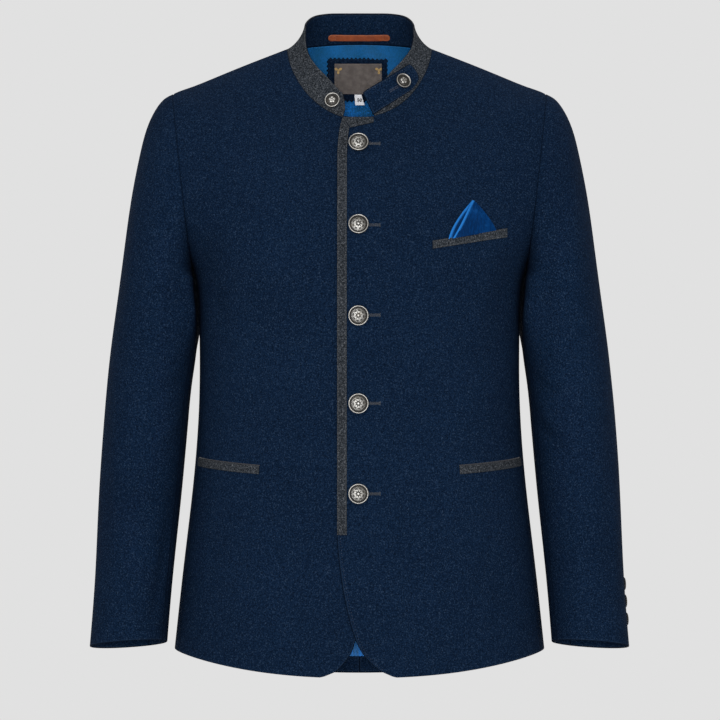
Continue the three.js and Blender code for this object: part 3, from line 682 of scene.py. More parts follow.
def mesh_object(name, points, faces, material, uv=None, facets=None, attributes=None):
    mesh = bpy.data.meshes.new(name)
    mesh.from_pydata([tuple(point) for point in (np.asarray(points) * MM).tolist()], [], faces)
    if uv is not None:
        layer = mesh.uv_layers.new(name="UVMap")
        corners = np.empty(len(mesh.loops), dtype=np.int32)
        mesh.loops.foreach_get("vertex_index", corners)
        layer.data.foreach_set("uv", (np.asarray(uv) * MM)[corners].ravel())
    for label, values in (attributes or {}).items():
        layer = mesh.attributes.new(label, "FLOAT", "POINT")
        layer.data.foreach_set("value", np.asarray(values, dtype=np.float32))
    materials = material if isinstance(material, (list, tuple)) else [material]
    for own in materials:
        mesh.materials.append(own)
    if facets is not None:
        mesh.polygons.foreach_set("material_index", facets)
    mesh.polygons.foreach_set("use_smooth", [True] * len(mesh.polygons))
    mesh.update()
    made = bpy.data.objects.new(name, mesh)
    bpy.context.scene.collection.objects.link(made)
    return made


FOUR_EDGES = ("down", "up", "left", "right")
FAR_FROM_EDGE = 50.0
SEAM_RIM = 0.6


def shell(name, points, normals, thick, material, rim=1.4, mirror=False, inside=None, free=FOUR_EDGES):
    """Closed cloth over a grid of places. It rounds off to the middle of the cloth, softly along
    its free edges and tightly along its seams, and the edge and seam attributes tell how far a
    place is from them. inside says where the inner face is lined."""
    rows, columns = points.shape[:2]
    edges = to_edges(points)
    far = np.full((rows, columns), FAR_FROM_EDGE)
    sides = list(zip(edges, FOUR_EDGES))
    at_edge = np.minimum.reduce([far] + [gap for gap, side in sides if side in free])
    at_seam = np.minimum.reduce([far] + [gap for gap, side in sides if side not in free])
    share = np.clip(np.minimum(at_edge / rim, at_seam / (SEAM_RIM * rim)), 0, 1)
    half = thick / 2 * np.sqrt(np.clip(1 - (1 - share) ** 2, 0, 1))
    middle = points - normals * (thick / 2)
    outer = middle + normals * half[..., None]
    inner = middle - normals * half[..., None]
    number = np.arange(rows * columns).reshape(rows, columns)
    under = number + rows * columns
    under[0], under[-1], under[:, 0], under[:, -1] = number[0], number[-1], number[:, 0], number[:, -1]
    a, b, c, d = number[:-1, :-1], number[:-1, 1:], number[1:, 1:], number[1:, :-1]
    e, f, g, h = under[:-1, :-1], under[:-1, 1:], under[1:, 1:], under[1:, :-1]
    top = np.stack([a, b, c, d], -1).reshape(-1, 4)
    low = np.stack([e, h, g, f], -1).reshape(-1, 4)
    everywhere = np.concatenate([outer.reshape(-1, 3), inner.reshape(-1, 3)])
    faces = np.concatenate([top, low])
    used = np.unique(faces)
    renumber = np.zeros(2 * rows * columns, dtype=int)
    renumber[used] = np.arange(len(used))
    faces = renumber[faces]
    along = np.concatenate([edges[2].ravel(), edges[2].ravel()])[used]
    down = np.concatenate([edges[0].ravel(), edges[0].ravel()])[used]
    spots = everywhere[used]
    across, up = spots[faces[:, 1]] - spots[faces[:, 0]], spots[faces[:, 3]] - spots[faces[:, 0]]
    outward = np.concatenate([normals[:-1, :-1].reshape(-1, 3)] * 2)
    facing = np.sum(np.cross(across, up) * outward, axis=1)
    half_way = len(top)
    if np.sum(facing[:half_way]) < 0:
        faces = faces[:, ::-1]
    if mirror:
        spots = spots * np.array([-1, 1, 1])
        faces = faces[:, ::-1]
    facets = None
    if inside is not None:
        lined = inside[:-1, :-1].reshape(-1)
        facets = np.concatenate([np.zeros(half_way, dtype=int), lined.astype(int)])
    gaps = {label: np.concatenate([gap.ravel(), gap.ravel()])[used] * MM
            for label, gap in (("edge", at_edge), ("seam", at_seam))}
    return mesh_object(name, spots, faces.tolist(), material, np.stack([along, down], -1), facets, gaps)


def raised(seats, out):
    points, normals = seats
    return points + normals * np.asarray(out)[..., None], normals


# Shader maths

class Wire:
    """A socket whose arithmetic adds Math nodes."""

    def __init__(self, finish, socket):
        self.finish = finish
        self.socket = socket

    def maths(self, operation, *values):
        return self.finish.node("ShaderNodeMath", {"operation": operation}, dict(enumerate(values)))

    def __add__(self, other):
        return self.maths("ADD", self, other)

    __radd__ = __add__

    def __sub__(self, other):
        return self.maths("SUBTRACT", self, other)

    def __rsub__(self, other):
        return self.maths("SUBTRACT", other, self)

    def __mul__(self, other):
        return self.maths("MULTIPLY", self, other)

    __rmul__ = __mul__

    def __pow__(self, other):
        return self.maths("POWER", self, other)

    def __abs__(self):
        return self.maths("ABSOLUTE", self)

    def clamped(self, low=0.0, high=1.0):
        return self.maths("MINIMUM", self.maths("MAXIMUM", self, low), high)

    def over(self, start, stop):
        """0 below start, 1 above stop, smooth between them."""
        return self.finish.node(
            "ShaderNodeMapRange",
            {"interpolation_type": "SMOOTHSTEP"},
            {"Value": self, "From Min": start, "From Max": stop},
        )


class Finish:
    """A material in the making."""

    def __init__(self, name):
        self.material = bpy.data.materials.new(name)
        self.material.use_nodes = True
        self.tree = self.material.node_tree
        self.tree.nodes.clear()
        self.output = self.tree.nodes.new("ShaderNodeOutputMaterial")
        self.shader = self.tree.nodes.new("ShaderNodeBsdfPrincipled")
        self.tree.links.new(self.shader.outputs[0], self.output.inputs["Surface"])

    def put(self, socket, value):
        if isinstance(value, Wire):
            self.tree.links.new(value.socket, socket)
        elif hasattr(value, "__len__") and len(value) == 3 and socket.type == "RGBA":
            socket.default_value = (*value, 1)
        else:
            socket.default_value = value

    def node(self, kind, settings=None, sockets=None, out=0):
        made = self.tree.nodes.new(kind)
        for name, value in (settings or {}).items():
            setattr(made, name, value)
        for name, value in (sockets or {}).items():
            self.put(made.inputs[name], value)
        return Wire(self, made.outputs[out])

    def place(self, kind="Object"):
        return self.node("ShaderNodeTexCoord", out=kind)

    def stretched(self, vector, scale):
        return self.node("ShaderNodeMapping", None, {"Vector": vector, "Scale": scale})

    def noise(self, vector, scale, detail=2.0, rough=0.5):
        sizes = {"Scale": scale, "Detail": detail, "Roughness": rough}
        return self.node("ShaderNodeTexNoise", None, {"Vector": vector, **sizes})

    def attribute(self, name):
        return self.node("ShaderNodeAttribute", {"attribute_name": name}, out="Fac")

    def blend(self, share, a, b):
        return self.node("ShaderNodeMix", {"data_type": "RGBA"}, {"Factor": share, 6: a, 7: b}, out=2)

    def bump(self, height, distance, strength=1.0):
        return self.node(
            "ShaderNodeBump", None, {"Height": height, "Distance": distance, "Strength": strength}
        )

    def done(self, **sockets):
        for name, value in sockets.items():
            self.put(self.shader.inputs[name.replace("_", " ")], value)
        return self.material


def milled_wool(name, deep, mean, light, fleck_and_shade, mottle, wear, shade, seam_shade):
    """Milled wool: a melange of dyed fibres with a short nap that blurs the weave. Along a free
    edge it has painted shade round the fold and is a little worn beside it, and it has painted shade in
    a seam."""
    f = Finish(name)
    where = f.place()
    clouds = f.noise(where, 9, 3, 0.55)
    tufts = f.noise(where, 620, 2, 0.6)
    grain = f.noise(where, 1250, 2, 0.6)
    hairs = f.noise(f.stretched(where, (1500, 800, 520)), 1.0, 2, 0.7)
    melange = (0.62 * tufts + 0.38 * grain + 0.14 * (clouds - 0.5)).over(0.5 - mottle, 0.5 + mottle)
    colour = f.blend(melange, deep, mean)
    colour = f.blend((hairs * 0.5 + tufts * 0.5).over(0.53, 0.66) * 0.9, colour, light)
    colour = f.blend(1 - f.noise(where, 760, 2, 0.6).over(0.36, 0.48), colour, fleck_and_shade)
    edge = f.attribute("edge")
    colour = f.blend((1 - edge.over(0.0014, 0.0030)) * (0.3 + 0.5 * grain) * wear, colour, light)
    # Painted shade round the fold of a free edge: the colour turns to the fleck colour close to the
    # edge.
    colour = f.blend((1 - edge.over(0.0006, 0.0015)) * shade, colour, fleck_and_shade)
    # Painted shade along seams: the colour turns to the fleck colour close to a seam, as a shadowed
    # groove.
    colour = f.blend((1 - f.attribute("seam").over(0.0004, 0.0022)) * seam_shade, colour, fleck_and_shade)
    nap = 0.5 * tufts + 0.35 * grain + 0.25 * hairs + 0.5 * f.noise(where, 60, 3, 0.6)
    return f.done(
        Base_Color=colour,
        Roughness=(0.86 + 0.14 * grain).clamped(),
        Normal=f.bump(nap, 0.0005, 0.75),
        Specular_IOR_Level=0.03,
    )


def satin(name, deep, mean, light, gloss, hem=0.0, painted_shade_levels=(0.0, 0.0)):
    """Bright satin with a fine warp and soft broad reflections, partly real and partly painted as light
    patches. hem brightens rolled edges with a painted highlight, and above the second of the painted
    shade levels, painted shade makes the cloth as dark as deep."""
    f = Finish(name)
    where = f.place()
    slubs = f.noise(f.stretched(where, (900, 900, 60)), 1.0, 2, 0.5)
    waves = f.noise(where, 38, 3, 0.5)
    warp = f.node("ShaderNodeTexWave", {"bands_direction": "DIAGONAL"},
                  {"Vector": where, "Scale": 420.0}, out=1)
    colour = f.blend((0.55 * slubs + 0.45 * waves).over(0.36, 0.66), deep, mean)
    # Painted sheen: broad light patches where the noise is high, standing in for the satin's
    # reflections.
    colour = f.blend((waves.over(0.56, 0.74)) * 0.5, colour, light)
    # Painted highlight along rolled edges: the colour turns towards light near a free edge.
    if hem:
        colour = f.blend((1 - f.attribute("edge").over(0.0014, 0.0052)) * hem, colour, light)
    # Painted shade: above these heights in object space the colour turns towards deep.
    if painted_shade_levels[1]:
        level = f.node("ShaderNodeSeparateXYZ", None, {0: where}, out=2)
        colour = f.blend(level.over(*painted_shade_levels) * 0.75, colour, deep)
    return f.done(
        Base_Color=colour,
        Roughness=(0.42 + 0.14 * slubs).clamped(),
        Normal=f.bump(0.6 * slubs + 0.15 * warp + 1.6 * waves, 0.0006, 0.6),
        Specular_IOR_Level=gloss,
    )


def tanned_leather(name):
    f = Finish(name)
    where = f.place()
    pores = f.node("ShaderNodeTexVoronoi", {"feature": "DISTANCE_TO_EDGE"},
                   {"Vector": where, "Scale": 1100.0})
    shade = f.noise(where, 90, 3, 0.6)
    colour = f.blend(shade.over(0.35, 0.7), (0.150, 0.028, 0.006), (0.225, 0.046, 0.010))
    edge = 1 - f.attribute("edge").over(0.0001, 0.0011)
    colour = f.blend(edge * 0.45, colour, (0.30, 0.11, 0.045))
    return f.done(
        Base_Color=colour,
        Roughness=(0.36 + 0.25 * shade).clamped(),
        Normal=f.bump(pores.over(0.0, 0.12) + 0.6 * shade, 0.0002, 0.5),
        Specular_IOR_Level=0.25,
    )


# Metal that faces away from this direction gets painted shade, as if lit from this side.
PAINTED_LIGHT_FROM = (-0.72, -0.12, -0.40)


def old_metal(name):
    """Antiqued silver: bright where it is rubbed and dark in the hollows of its ornament, with painted
    shade on the side that faces away from the light."""
    f = Finish(name)
    where = f.place()
    relief = f.attribute("relief")
    tarnish = f.noise(where, 520, 3, 0.65)
    rubbed = (relief + 0.5 * (tarnish - 0.5)).over(0.2, 0.9)
    colour = f.blend(rubbed, (0.045, 0.043, 0.042), (0.58, 0.57, 0.54))
    colour = f.blend(f.noise(where, 150, 2, 0.5).over(0.55, 0.75) * 0.35, colour, (0.24, 0.20, 0.14))
    # Painted shade: the colour darkens where the surface faces away from the direction above.
    facing = f.node("ShaderNodeVectorMath", {"operation": "DOT_PRODUCT"},
                    {0: f.place("Normal"), 1: PAINTED_LIGHT_FROM}, out=1)
    colour = f.blend((1 - facing.over(-0.25, 0.45)) * 0.62, colour, (0.030, 0.027, 0.022))
    return f.done(
        Base_Color=colour,
        Metallic=0.9,
        Roughness=(0.62 - 0.24 * rubbed + 0.12 * tarnish).clamped(),
        Normal=f.bump(tarnish, 0.00025, 0.6),
    )


def woven_label(name):
    """Taupe label satin with a small gold sprig of three leaves at each of its upper corners."""
    f = Finish(name)
    where = f.place("UV")
    apart = f.node("ShaderNodeSeparateXYZ", None, {0: where})
    u, v = apart, Wire(f, apart.socket.node.outputs[1])
    rib = f.node("ShaderNodeTexWave", {"bands_direction": "Y"},
                 {"Vector": where, "Scale": 520.0}, out=1)
    cloud = f.noise(where, 120, 3, 0.6)
    thread = f.noise(f.stretched(where, (1800, 500, 1)), 1.0, 1, 0.5)
    colour = f.blend(cloud.over(0.3, 0.7), (0.070, 0.057, 0.051), (0.118, 0.099, 0.089))
    middle, aside, high, leaf = 0.02885, 0.0242, 0.0303, 0.0046
    beside, above = abs(u - middle) - aside, v - high
    angle = f.node("ShaderNodeMath", {"operation": "ARCTAN2"}, {0: above, 1: beside})
    lobe = abs(f.node("ShaderNodeMath", {"operation": "COSINE"}, {0: 1.5 * angle - 0.8})) ** 1.6
    reach = (beside * beside + above * above) ** 0.5
    gold = (leaf * (0.12 + lobe) - reach).over(0.0, 0.0004) * (0.6 + 0.4 * thread.over(0.38, 0.62))
    colour = f.blend(gold.clamped(), colour, (0.42, 0.27, 0.09))
    return f.done(
        Base_Color=colour,
        Roughness=(0.42 + 0.2 * thread).clamped(),
        Normal=f.bump(0.4 * rib + thread, 0.0002, 0.5),
        Sheen_Weight=0.1,
    )


def thread_finish(name, dark, light):
    f = Finish(name)
    twist = f.noise(f.place(), 2600, 2, 0.5)
    return f.done(
        Base_Color=f.blend(twist.over(0.3, 0.7), dark, light),
        Roughness=(0.55 + 0.2 * twist).clamped(),
        Normal=f.bump(twist, 0.0001, 0.6),
        Sheen_Weight=0.2,
    )


# The last two numbers of each wool set how much painted shade it gets along free edges and in seams.
NAVY = milled_wool("navy_wool", (0.0015, 0.0058, 0.0165), (0.0038, 0.0125, 0.0330),
                   (0.0195, 0.0350, 0.0620), (0.0010, 0.0036, 0.0100), 0.10, 0.3, 1, 0.8)
GREY = milled_wool("grey_felt", (0.010, 0.012, 0.015), (0.032, 0.037, 0.045),
                   (0.105, 0.110, 0.118), (0.005, 0.006, 0.007), 0.09, 0.1, 0.15, 0.3)
# blue_satin gets painted shade just under the collar, above the two heights given.
BLUE = satin("blue_satin", (0.0055, 0.068, 0.165), (0.0085, 0.175, 0.600), (0.018, 0.23, 0.68),
             0.16, painted_shade_levels=(-0.062, -0.040))
# square_satin gets a painted highlight along the rolled hems of its leaves.
SQUARE_BLUE = satin("square_satin", (0.0004, 0.012, 0.050), (0.0006, 0.025, 0.102),
                    (0.016, 0.145, 0.44), 0.02, hem=0.9)
LEATHER = tanned_leather("tan_leather")
SILVER = old_metal("old_silver")
LABEL = woven_label("label_satin")
WHITE = thread_finish("white_tape", (0.93, 0.94, 0.98), (0.98, 0.98, 1.0))
# Black for the printed size, and for the sheets that paint the shadow in buttonhole slits and pocket
# openings.
INK_AND_SHADOW = thread_finish("black_ink", (0.006, 0.006, 0.009), (0.016, 0.016, 0.020))
GREY_THREAD = thread_finish("grey_thread", (0.034, 0.036, 0.040), (0.085, 0.085, 0.084))
HOLE_THREAD = thread_finish("buttonhole_thread", (0.007, 0.012, 0.019), (0.021, 0.029, 0.038))
NAVY_THREAD = thread_finish("navy_thread", (0.0025, 0.007, 0.021), (0.009, 0.020, 0.050))
TAUPE_THREAD = thread_finish("taupe_thread", (0.10, 0.08, 0.068), (0.20, 0.17, 0.145))
TAN_THREAD = thread_finish("tan_thread", (0.10, 0.028, 0.010), (0.26, 0.085, 0.030))


# Making the pieces. Each one rides on the coat's only body.

def finished(piece, slot, *nodes):
    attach(piece, "root")
    if nodes:
        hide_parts(*nodes)
    return piece


def rows_between(low, high, step=GRID_STEP, rim=1.4):
    return low + np.concatenate(lines_at(high - low, step, rim))


def panel_grid(rises, starts, stops, rim=1.4):
    """Turns of a panel's grid: every row runs from its start to its stop."""
    begin = shape_base(starts, rises)[0]
    middle = shape_base((starts + stops) / 2, rises)[0]
    end = shape_base(stops, rises)[0]
    widths = np.linalg.norm(middle - begin, axis=-1) + np.linalg.norm(end - middle, axis=-1)
    shares = shares_at(widths, GRID_STEP, rim)
    return mix(starts[:, None], stops[:, None], shares), np.broadcast_to(rises[:, None], shares.shape)


SATIN_FROM_EDGE = 78
SATIN_FROM_HEM = 24
HEM_FOLD = 16.5
CENTRE_BACK = 90 * DEGREE
LINING_STEP = 6.0
SIDE_HIGH = 450
SIDE_WIDE = 175.0
SLEEVE_MEAN_RADIUS = 78
SLEEVE_GRID_A_DEGREE = 1.9


def lined(points, facing=0):
    """Inner faces that the satin covers: away from the facing and the hem."""
    down, up, left, _ = to_edges(points)
    return (down > SATIN_FROM_HEM) & (up > 3) & (left >= facing)


def front_panel(side):
    rises = rows_between(0, NECK_EDGE)
    surface = BODY[side]
    starts = edge_turn(surface, rises, "over" if side == "left" else "under")
    turns, heights = panel_grid(rises, starts, panel_side(surface, rises, -1))
    own = left_front_point if side == "left" else surface
    points, normals = seat_on(own, turns, heights, *BODY_REACH)
    piece = shell(f"cloth_front_{side}", points, normals, BODY_CLOTH, [NAVY, BLUE],
                  mirror=side == "right", inside=lined(points, SATIN_FROM_EDGE), free=("down", "left"))
    return finished(piece, "navy_wool", f"front_{side}")


def side_panel(side):
    shares = rows_between(0, 1000, 1000 * GRID_STEP / SIDE_HIGH, 3) / 1000
    surface = BODY[side]
    seams = np.linspace(FRONT_SEAM, BACK_SEAM, 61)
    tops = armhole_rise(surface, seams, ARMHOLE_TUCK)
    across = shares_at(SIDE_WIDE, GRID_STEP, 1.4)[0]
    seam = mix(FRONT_SEAM, BACK_SEAM, across)
    rises = shares[:, None] * np.interp(seam, seams, tops)[None, :]
    seam = np.broadcast_to(seam, rises.shape)
    turns = turn_by(seam, rises, SEAM_TUCK * (2 * across - 1))
    points, normals = seat_on(surface, turns, rises, *BODY_REACH)
    piece = shell(f"cloth_side_{side}", points, normals, BODY_CLOTH, [NAVY, BLUE],
                  mirror=side == "right", inside=lined(points), free=("down",))
    return finished(piece, "navy_wool", f"side_{side}")


def back_grid(side, rises):
    surface = BODY[side]
    middle = turn_by(CENTRE_BACK + 0 * rises, rises, SEAM_TUCK)
    turns, heights = panel_grid(rises, panel_side(surface, rises, 1), middle)
    return seat_on(surface, turns, heights, *BODY_REACH)


def back_panel(side):
    points, normals = back_grid(side, rows_between(0, NECK_EDGE))
    piece = shell(f"cloth_back_{side}", points, normals, BODY_CLOTH, NAVY, mirror=side == "right",
                  free=("down",))
    return finished(piece, "navy_wool", f"back_{side}")


def hem_fold(side):
    """The hem of the back, turned up inside and felled."""
    seats = raised(back_grid(side, rows_between(0.8, HEM_FOLD)), -BODY_CLOTH - 0.1)
    piece = shell(f"cloth_hem_fold_{side}", *seats, FOLD_CLOTH, NAVY, rim=0.8, mirror=side == "right")
    return finished(piece, "navy_wool", f"hem_fold_{side}")


def back_lining(side):
    """Satin inside the back, with the slack that a lining has: it puffs in long soft waves."""
    points, normals = back_grid(side, rows_between(HEM_FOLD - 2, NECK_EDGE - 1, LINING_STEP))
    x, z = points[..., 0], points[..., 2]
    down, up, left, right = to_edges(points)
    held = smooth(0, 16, down) * smooth(0, 22, up) * smooth(0, 14, left) * smooth(0, 9, right)
    phase = 0.0 if side == "left" else 1.9
    ripple = np.sin(x / 15 + phase + 0.7 * np.sin(z / 60 + phase))
    slack = 0.5 + 0.5 * ripple * np.sin(z / 130 + 1.3 + phase)
    seats = raised((points, normals), -BODY_CLOTH - 0.3 - 1.7 * held * slack)
    piece = shell(f"cloth_lining_{side}", *seats, LINING_CLOTH, BLUE, rim=0.5, mirror=side == "right")
    return finished(piece, "blue_satin", f"lining_{side}")


def sleeve_piece(side, name, nodes, begin, stop, rim=1.3):
    """One piece of a sleeve between two seams. Its first row lies in the armhole."""
    runs = rows_between(0, CUFF_RUN, GRID_STEP, rim)
    count = 4 * int(round(abs(stop - begin) * SLEEVE_GRID_A_DEGREE / GRID_STEP / 4)) + 1
    girth = abs(stop - begin) * DEGREE * SLEEVE_MEAN_RADIUS
    shares = shares_at(girth, girth / count, rim)[0]
    angle = mix(begin, stop, shares) * DEGREE
    angles, heights = np.meshgrid(angle, runs)
    points, normals = sleeve_seat(side, angles, heights)
    down, up, _, _ = to_edges(points)
    satin_here = (up > SATIN_FROM_HEM) & (down > 2)
    piece = shell(f"cloth_{name}_{side}", points, normals, SLEEVE_CLOTH, [NAVY, BLUE], rim,
                  mirror=side == "right", inside=satin_here, free=("up",))
    return finished(piece, "navy_wool", *(f"{node}_{side}" for node in nodes))


# Collar and throat strap

def collar_ends(up):
    left, right = mix(18, 9.5, up), -19.5 + 2.8 * np.sin(math.pi * up)
    return collar_turn(up, left, -89, -40), collar_turn(up, right, 220, 269)


def collar_grid(low, high, rim):
    """Seats of the collar from its left end, round the back, to its right end."""
    ups = mix(low, high, shares_at(COLLAR_SPAN[1], 2.2, rim)[0])
    begin, stop = collar_ends(ups)
    along = shares_at(COLLAR_SPAN[0], 2.6, rim)[0]
    turns = mix(begin[:, None], stop[:, None], along[None, :])
    return collar_seat(turns, np.broadcast_to(ups[:, None], turns.shape))


def stand_collar():
    open_sides = ("up", "left", "right")
    felt = shell("cloth_collar_outer", *collar_grid(COLLAR_FOOT, 1, 0.75), COLLAR_FELT, GREY, rim=0.75,
                 free=open_sides)
    seats = raised(collar_grid(COLLAR_FOOT, 0.985, 0.7), -COLLAR_FELT - 0.05)
    wool = shell("cloth_collar_inner", *seats, COLLAR_LINING, NAVY, rim=0.7, free=open_sides)
    return (finished(felt, "grey_felt", "collar_outer"), finished(wool, "navy_wool", "collar_inner"))


# The strap's lower and upper edge as seen from the front, from its fold to its rounded end.
STRAP_EDGES = table(
    "fold_x fold_z end_x end_z",
    [
        [15.9, -79.6, 65.6, -46.2],
        [3.6, -53.2, 57.4, -19.2],
    ],
)
STRAP_ROUND = 6.5
STRAP_LOWEST = 0.06
STRAP_RISE = LAY_GAP + STRAP_CLOTH
NECK_HALF_WIDTH = BODY_RINGS["wide"][-1]


def strap_seats(along, across):
    """Places on the throat strap: along it from the collar's end, across it from its lower edge."""
    edge = {name: mix(*values, across) for name, values in STRAP_EDGES.items()}
    end_x = edge["end_x"] + STRAP_ROUND * np.clip(np.sin(math.pi * across), 0, 1) ** 0.7
    x, z = mix(edge["fold_x"], end_x, along), mix(edge["fold_z"], edge["end_z"], along)
    turn, up = spot(collar_point, x, z, -np.arccos(x / NECK_HALF_WIDTH), 0.5, *COLLAR_REACH)
    points, normals = collar_seat(turn, np.maximum(up, STRAP_LOWEST))
    rolled = 1.1 * np.exp(-((along / 0.05) ** 2))
    return points + normals * (STRAP_RISE - rolled)[..., None], normals


def throat_strap():
    along, across = np.meshgrid(shares_at(56.0, 1.7, 0.8)[0], shares_at(30.0, 1.7, 0.8)[0])
    piece = shell("cloth_throat_strap", *strap_seats(along, across), STRAP_CLOTH, NAVY, rim=0.8)
    return finished(piece, "navy_wool", "throat_strap")


# What lies on the panels

TRIM_WIDTH = 11
TRIM_BOTTOM = -563
NECK_LINE = -84.6
MITRE_DROP = 12


def patch(width, height, outline, seat, step=2.4, rim=0.7):
    """Grid of seats over an outline of front-view places, given by shares across and up."""
    across = shares_at(float(width), step, rim)[0]
    share, up = np.meshgrid(across, shares_at(float(height), step, rim)[0])
    return seat(*outline(share, up))


def front_trim():
    """Felt down the left front's edge, cut at a slant where it meets the neck's trim."""
    def outline(share, up):
        z = mix(TRIM_BOTTOM, NECK_LINE - MITRE_DROP * share, up)
        return front_edges(z).over + 0.3 + TRIM_WIDTH * share, z

    seats = raised(patch(TRIM_WIDTH, 480, outline, on_front, 2.6), LAY_GAP + TRIM_FELT)
    piece = shell("felt_front_trim", *seats, TRIM_FELT, GREY, rim=0.7)
    return finished(piece, "grey_felt", "front_trim")


def neck_trim():
    def outline(share, up):
        left = mix(-10.6, -19.4, up)
        low = mix(NECK_LINE - MITRE_DROP, NECK_LINE - 6, share)
        return mix(left, 16.5, share), mix(low, NECK_LINE, up)

    seats = raised(patch(30, 10, outline, on_front, 1.4), LAY_GAP + TRIM_FELT)
    piece = shell("felt_neck_trim", *seats, TRIM_FELT, GREY, rim=0.7)
    return finished(piece, "grey_felt", "neck_trim")


HIP_WELT_X, HIP_WELT_Z = 115, -494
HIP_WELT_HIGH = 9.5
HIP_WELT_CLIMB = 6
HIP_TURN, HIP_RISE = (float(value) for value in front_spot(HIP_WELT_X, HIP_WELT_Z))


def hip_welt(side):
    share, up = np.meshgrid(shares_at(92.0, 2.2, 0.7)[0], shares_at(HIP_WELT_HIGH, 1.3, 0.7)[0])
    turns = mix(HIP_TURN, FRONT_SEAM, share)
    heights = HIP_RISE + HIP_WELT_CLIMB * share + HIP_WELT_HIGH * up
    own = left_front_point if side == "left" else BODY[side]
    seats = raised(seat_on(own, turns, heights, *BODY_REACH), LAY_GAP + TRIM_FELT)
    piece = shell(f"felt_hip_welt_{side}", *seats, TRIM_FELT, GREY, rim=0.7, mirror=side == "right")
    return finished(piece, "grey_felt", f"hip_welt_{side}")


def chest_outline(share, up):
    return mix(83.5, 169.5, share), mix(-236, -221.5, share) + mix(9.5, 10.5, share) * up


def chest_welt():
    seats = raised(patch(87, 10, chest_outline, on_front, 1.9), LAY_GAP + WELT_FELT)
    piece = shell("felt_chest_welt", *seats, WELT_FELT, GREY, rim=0.8)
    return finished(piece, "grey_felt", "chest_welt")


# The pocket square: a leaf behind and a leaf in front, each with a rolled hem along its left side.
SQUARE_APEX = (129.5, -180.5)
SQUARE_LEAVES = table(
    "base_left base_left_z base_right base_right_z out bow",
    [
        [101.5, -225, 140, -218, 0.5, 1.45],
        [105.8, -224.2, 156, -214, 1.3, 0.9],
    ],
)
SQUARE_CLOTH = 0.7
SQUARE_HEM = 1.1


def pocket_square():
    pieces = []
    for i, (left, left_z, right, right_z, out, bow) in enumerate(zip(*SQUARE_LEAVES.values())):
        def outline(share, up):
            apex_x, apex_z = SQUARE_APEX
            high = 1 - (1 - up) ** 1.15
            begin = mix(left, apex_x - 0.8, up**bow)
            stop = mix(right, apex_x + 1.2, up**1.17)
            base_z = mix(left_z, right_z, share)
            return mix(begin, stop, share), mix(base_z, apex_z, mix(up, high, share))

        share, up = np.meshgrid(shares_at(46.0, 1.3, 0.5)[0], shares_at(44.0, 1.3, 0.5)[0])
        points, normals = on_front(*outline(share, up))
        roll = SQUARE_HEM * (np.exp(-(((share * mix(46, 3, up)) / 1.3) ** 2)))
        right_roll = 0.6 * np.exp(-(((1 - share) * mix(46, 3, up) / 1.2) ** 2))
        belly = 2.2 * np.sin(math.pi * np.clip(share, 0, 1)) ** 1.4 * (1 - up) ** 0.7
        flute = 0.55 * np.sin(share * 9 + up * 2.0) * smooth(0, 0.3, up) * (1 - smooth(0.7, 1, up))
        lift = LAY_GAP + SQUARE_CLOTH + out + roll + right_roll + belly + flute * i
        seats = raised((points, normals), lift)
        piece = shell(f"square_leaf_{i + 1}", *seats, SQUARE_CLOTH, SQUARE_BLUE, rim=0.35,
                      free=("left",))
        pieces.append(finished(piece, "blue_satin", *(["pocket_square"] if i == 1 else [])))
    return pieces


# Inside the neck

BACKING_OUT = -BODY_CLOTH - 0.3 - LINING_CLOTH - 0.5
LABEL_OUT = BACKING_OUT - TRIM_FELT - 0.1
PINK_PITCH = 5.1
PINK_DEEP = 2.2


def label_backing():
    """Felt with a pinked edge: every second place of its outline is drawn in."""
    wide, high = 76.0, 51.5
    across = np.linspace(0, 1, 2 * int(round(wide / PINK_PITCH)) + 1)
    rise = np.linspace(0, 1, 2 * int(round(high / PINK_PITCH)) + 1)
    share, up = np.meshgrid(across, rise)
    x, z = mix(-40, 36, share), mix(-54.5, -3, up)
    odd = np.arange(len(across)) % 2 == 1
    z[0, odd] += PINK_DEEP
    z[-1, odd] -= PINK_DEEP
    tall = np.arange(len(rise)) % 2 == 1
    x[tall, 0] += PINK_DEEP
    x[tall, -1] -= PINK_DEEP
    seats = raised(on_back(x, z), BACKING_OUT)
    piece = shell("felt_label_backing", *seats, TRIM_FELT, NAVY, rim=0.2)
    return finished(piece, "navy_wool", "label_backing")


def woven_patch():
    def outline(share, up):
        return mix(-30.5, 27.2, share), mix(-44.8, -9.8, up)

    points, normals = patch(57.7, 35, outline, on_back, 1.6, 0.5)
    down, up, left, right = to_edges(points)
    turned = 0.35 * (1 - smooth(1.0, 3.2, np.minimum.reduce([down, up, left, right])))
    seats = raised((points, normals), LABEL_OUT - turned)
    piece = shell("woven_label", *seats, LABEL_CLOTH, LABEL, rim=0.4)
    return finished(piece, "label_satin", "label")


SIZE_TAPE = table(
    "low_left high_left low_right high_right low high",
    [[-5.2, -6.2, 6.3, 2.5, -57, -45.5]],
)
NUMBER_SPOT = np.array([0.1, -51])
DIGITS_HIGH = 5.8
DIGITS_BOLDER = 0.2


def size_tape():
    row = {name: values[0] for name, values in SIZE_TAPE.items()}

    def outline(share, up):
        left = mix(row["low_left"], row["high_left"], up)
        right = mix(row["low_right"], row["high_right"], up)
        return mix(left, right, share), mix(row["low"], row["high"], up)

    points, normals = patch(10, 13, outline, on_back, 1.2, 0.4)
    down, _, _, _ = to_edges(points)
    seats = raised((points, normals), LABEL_OUT - 0.6 * (1 - smooth(0, 9, down)))
    piece = shell("tape_with_size", *seats, LABEL_CLOTH, WHITE, rim=0.3)
    return finished(piece, "white_tape", "size_tape")


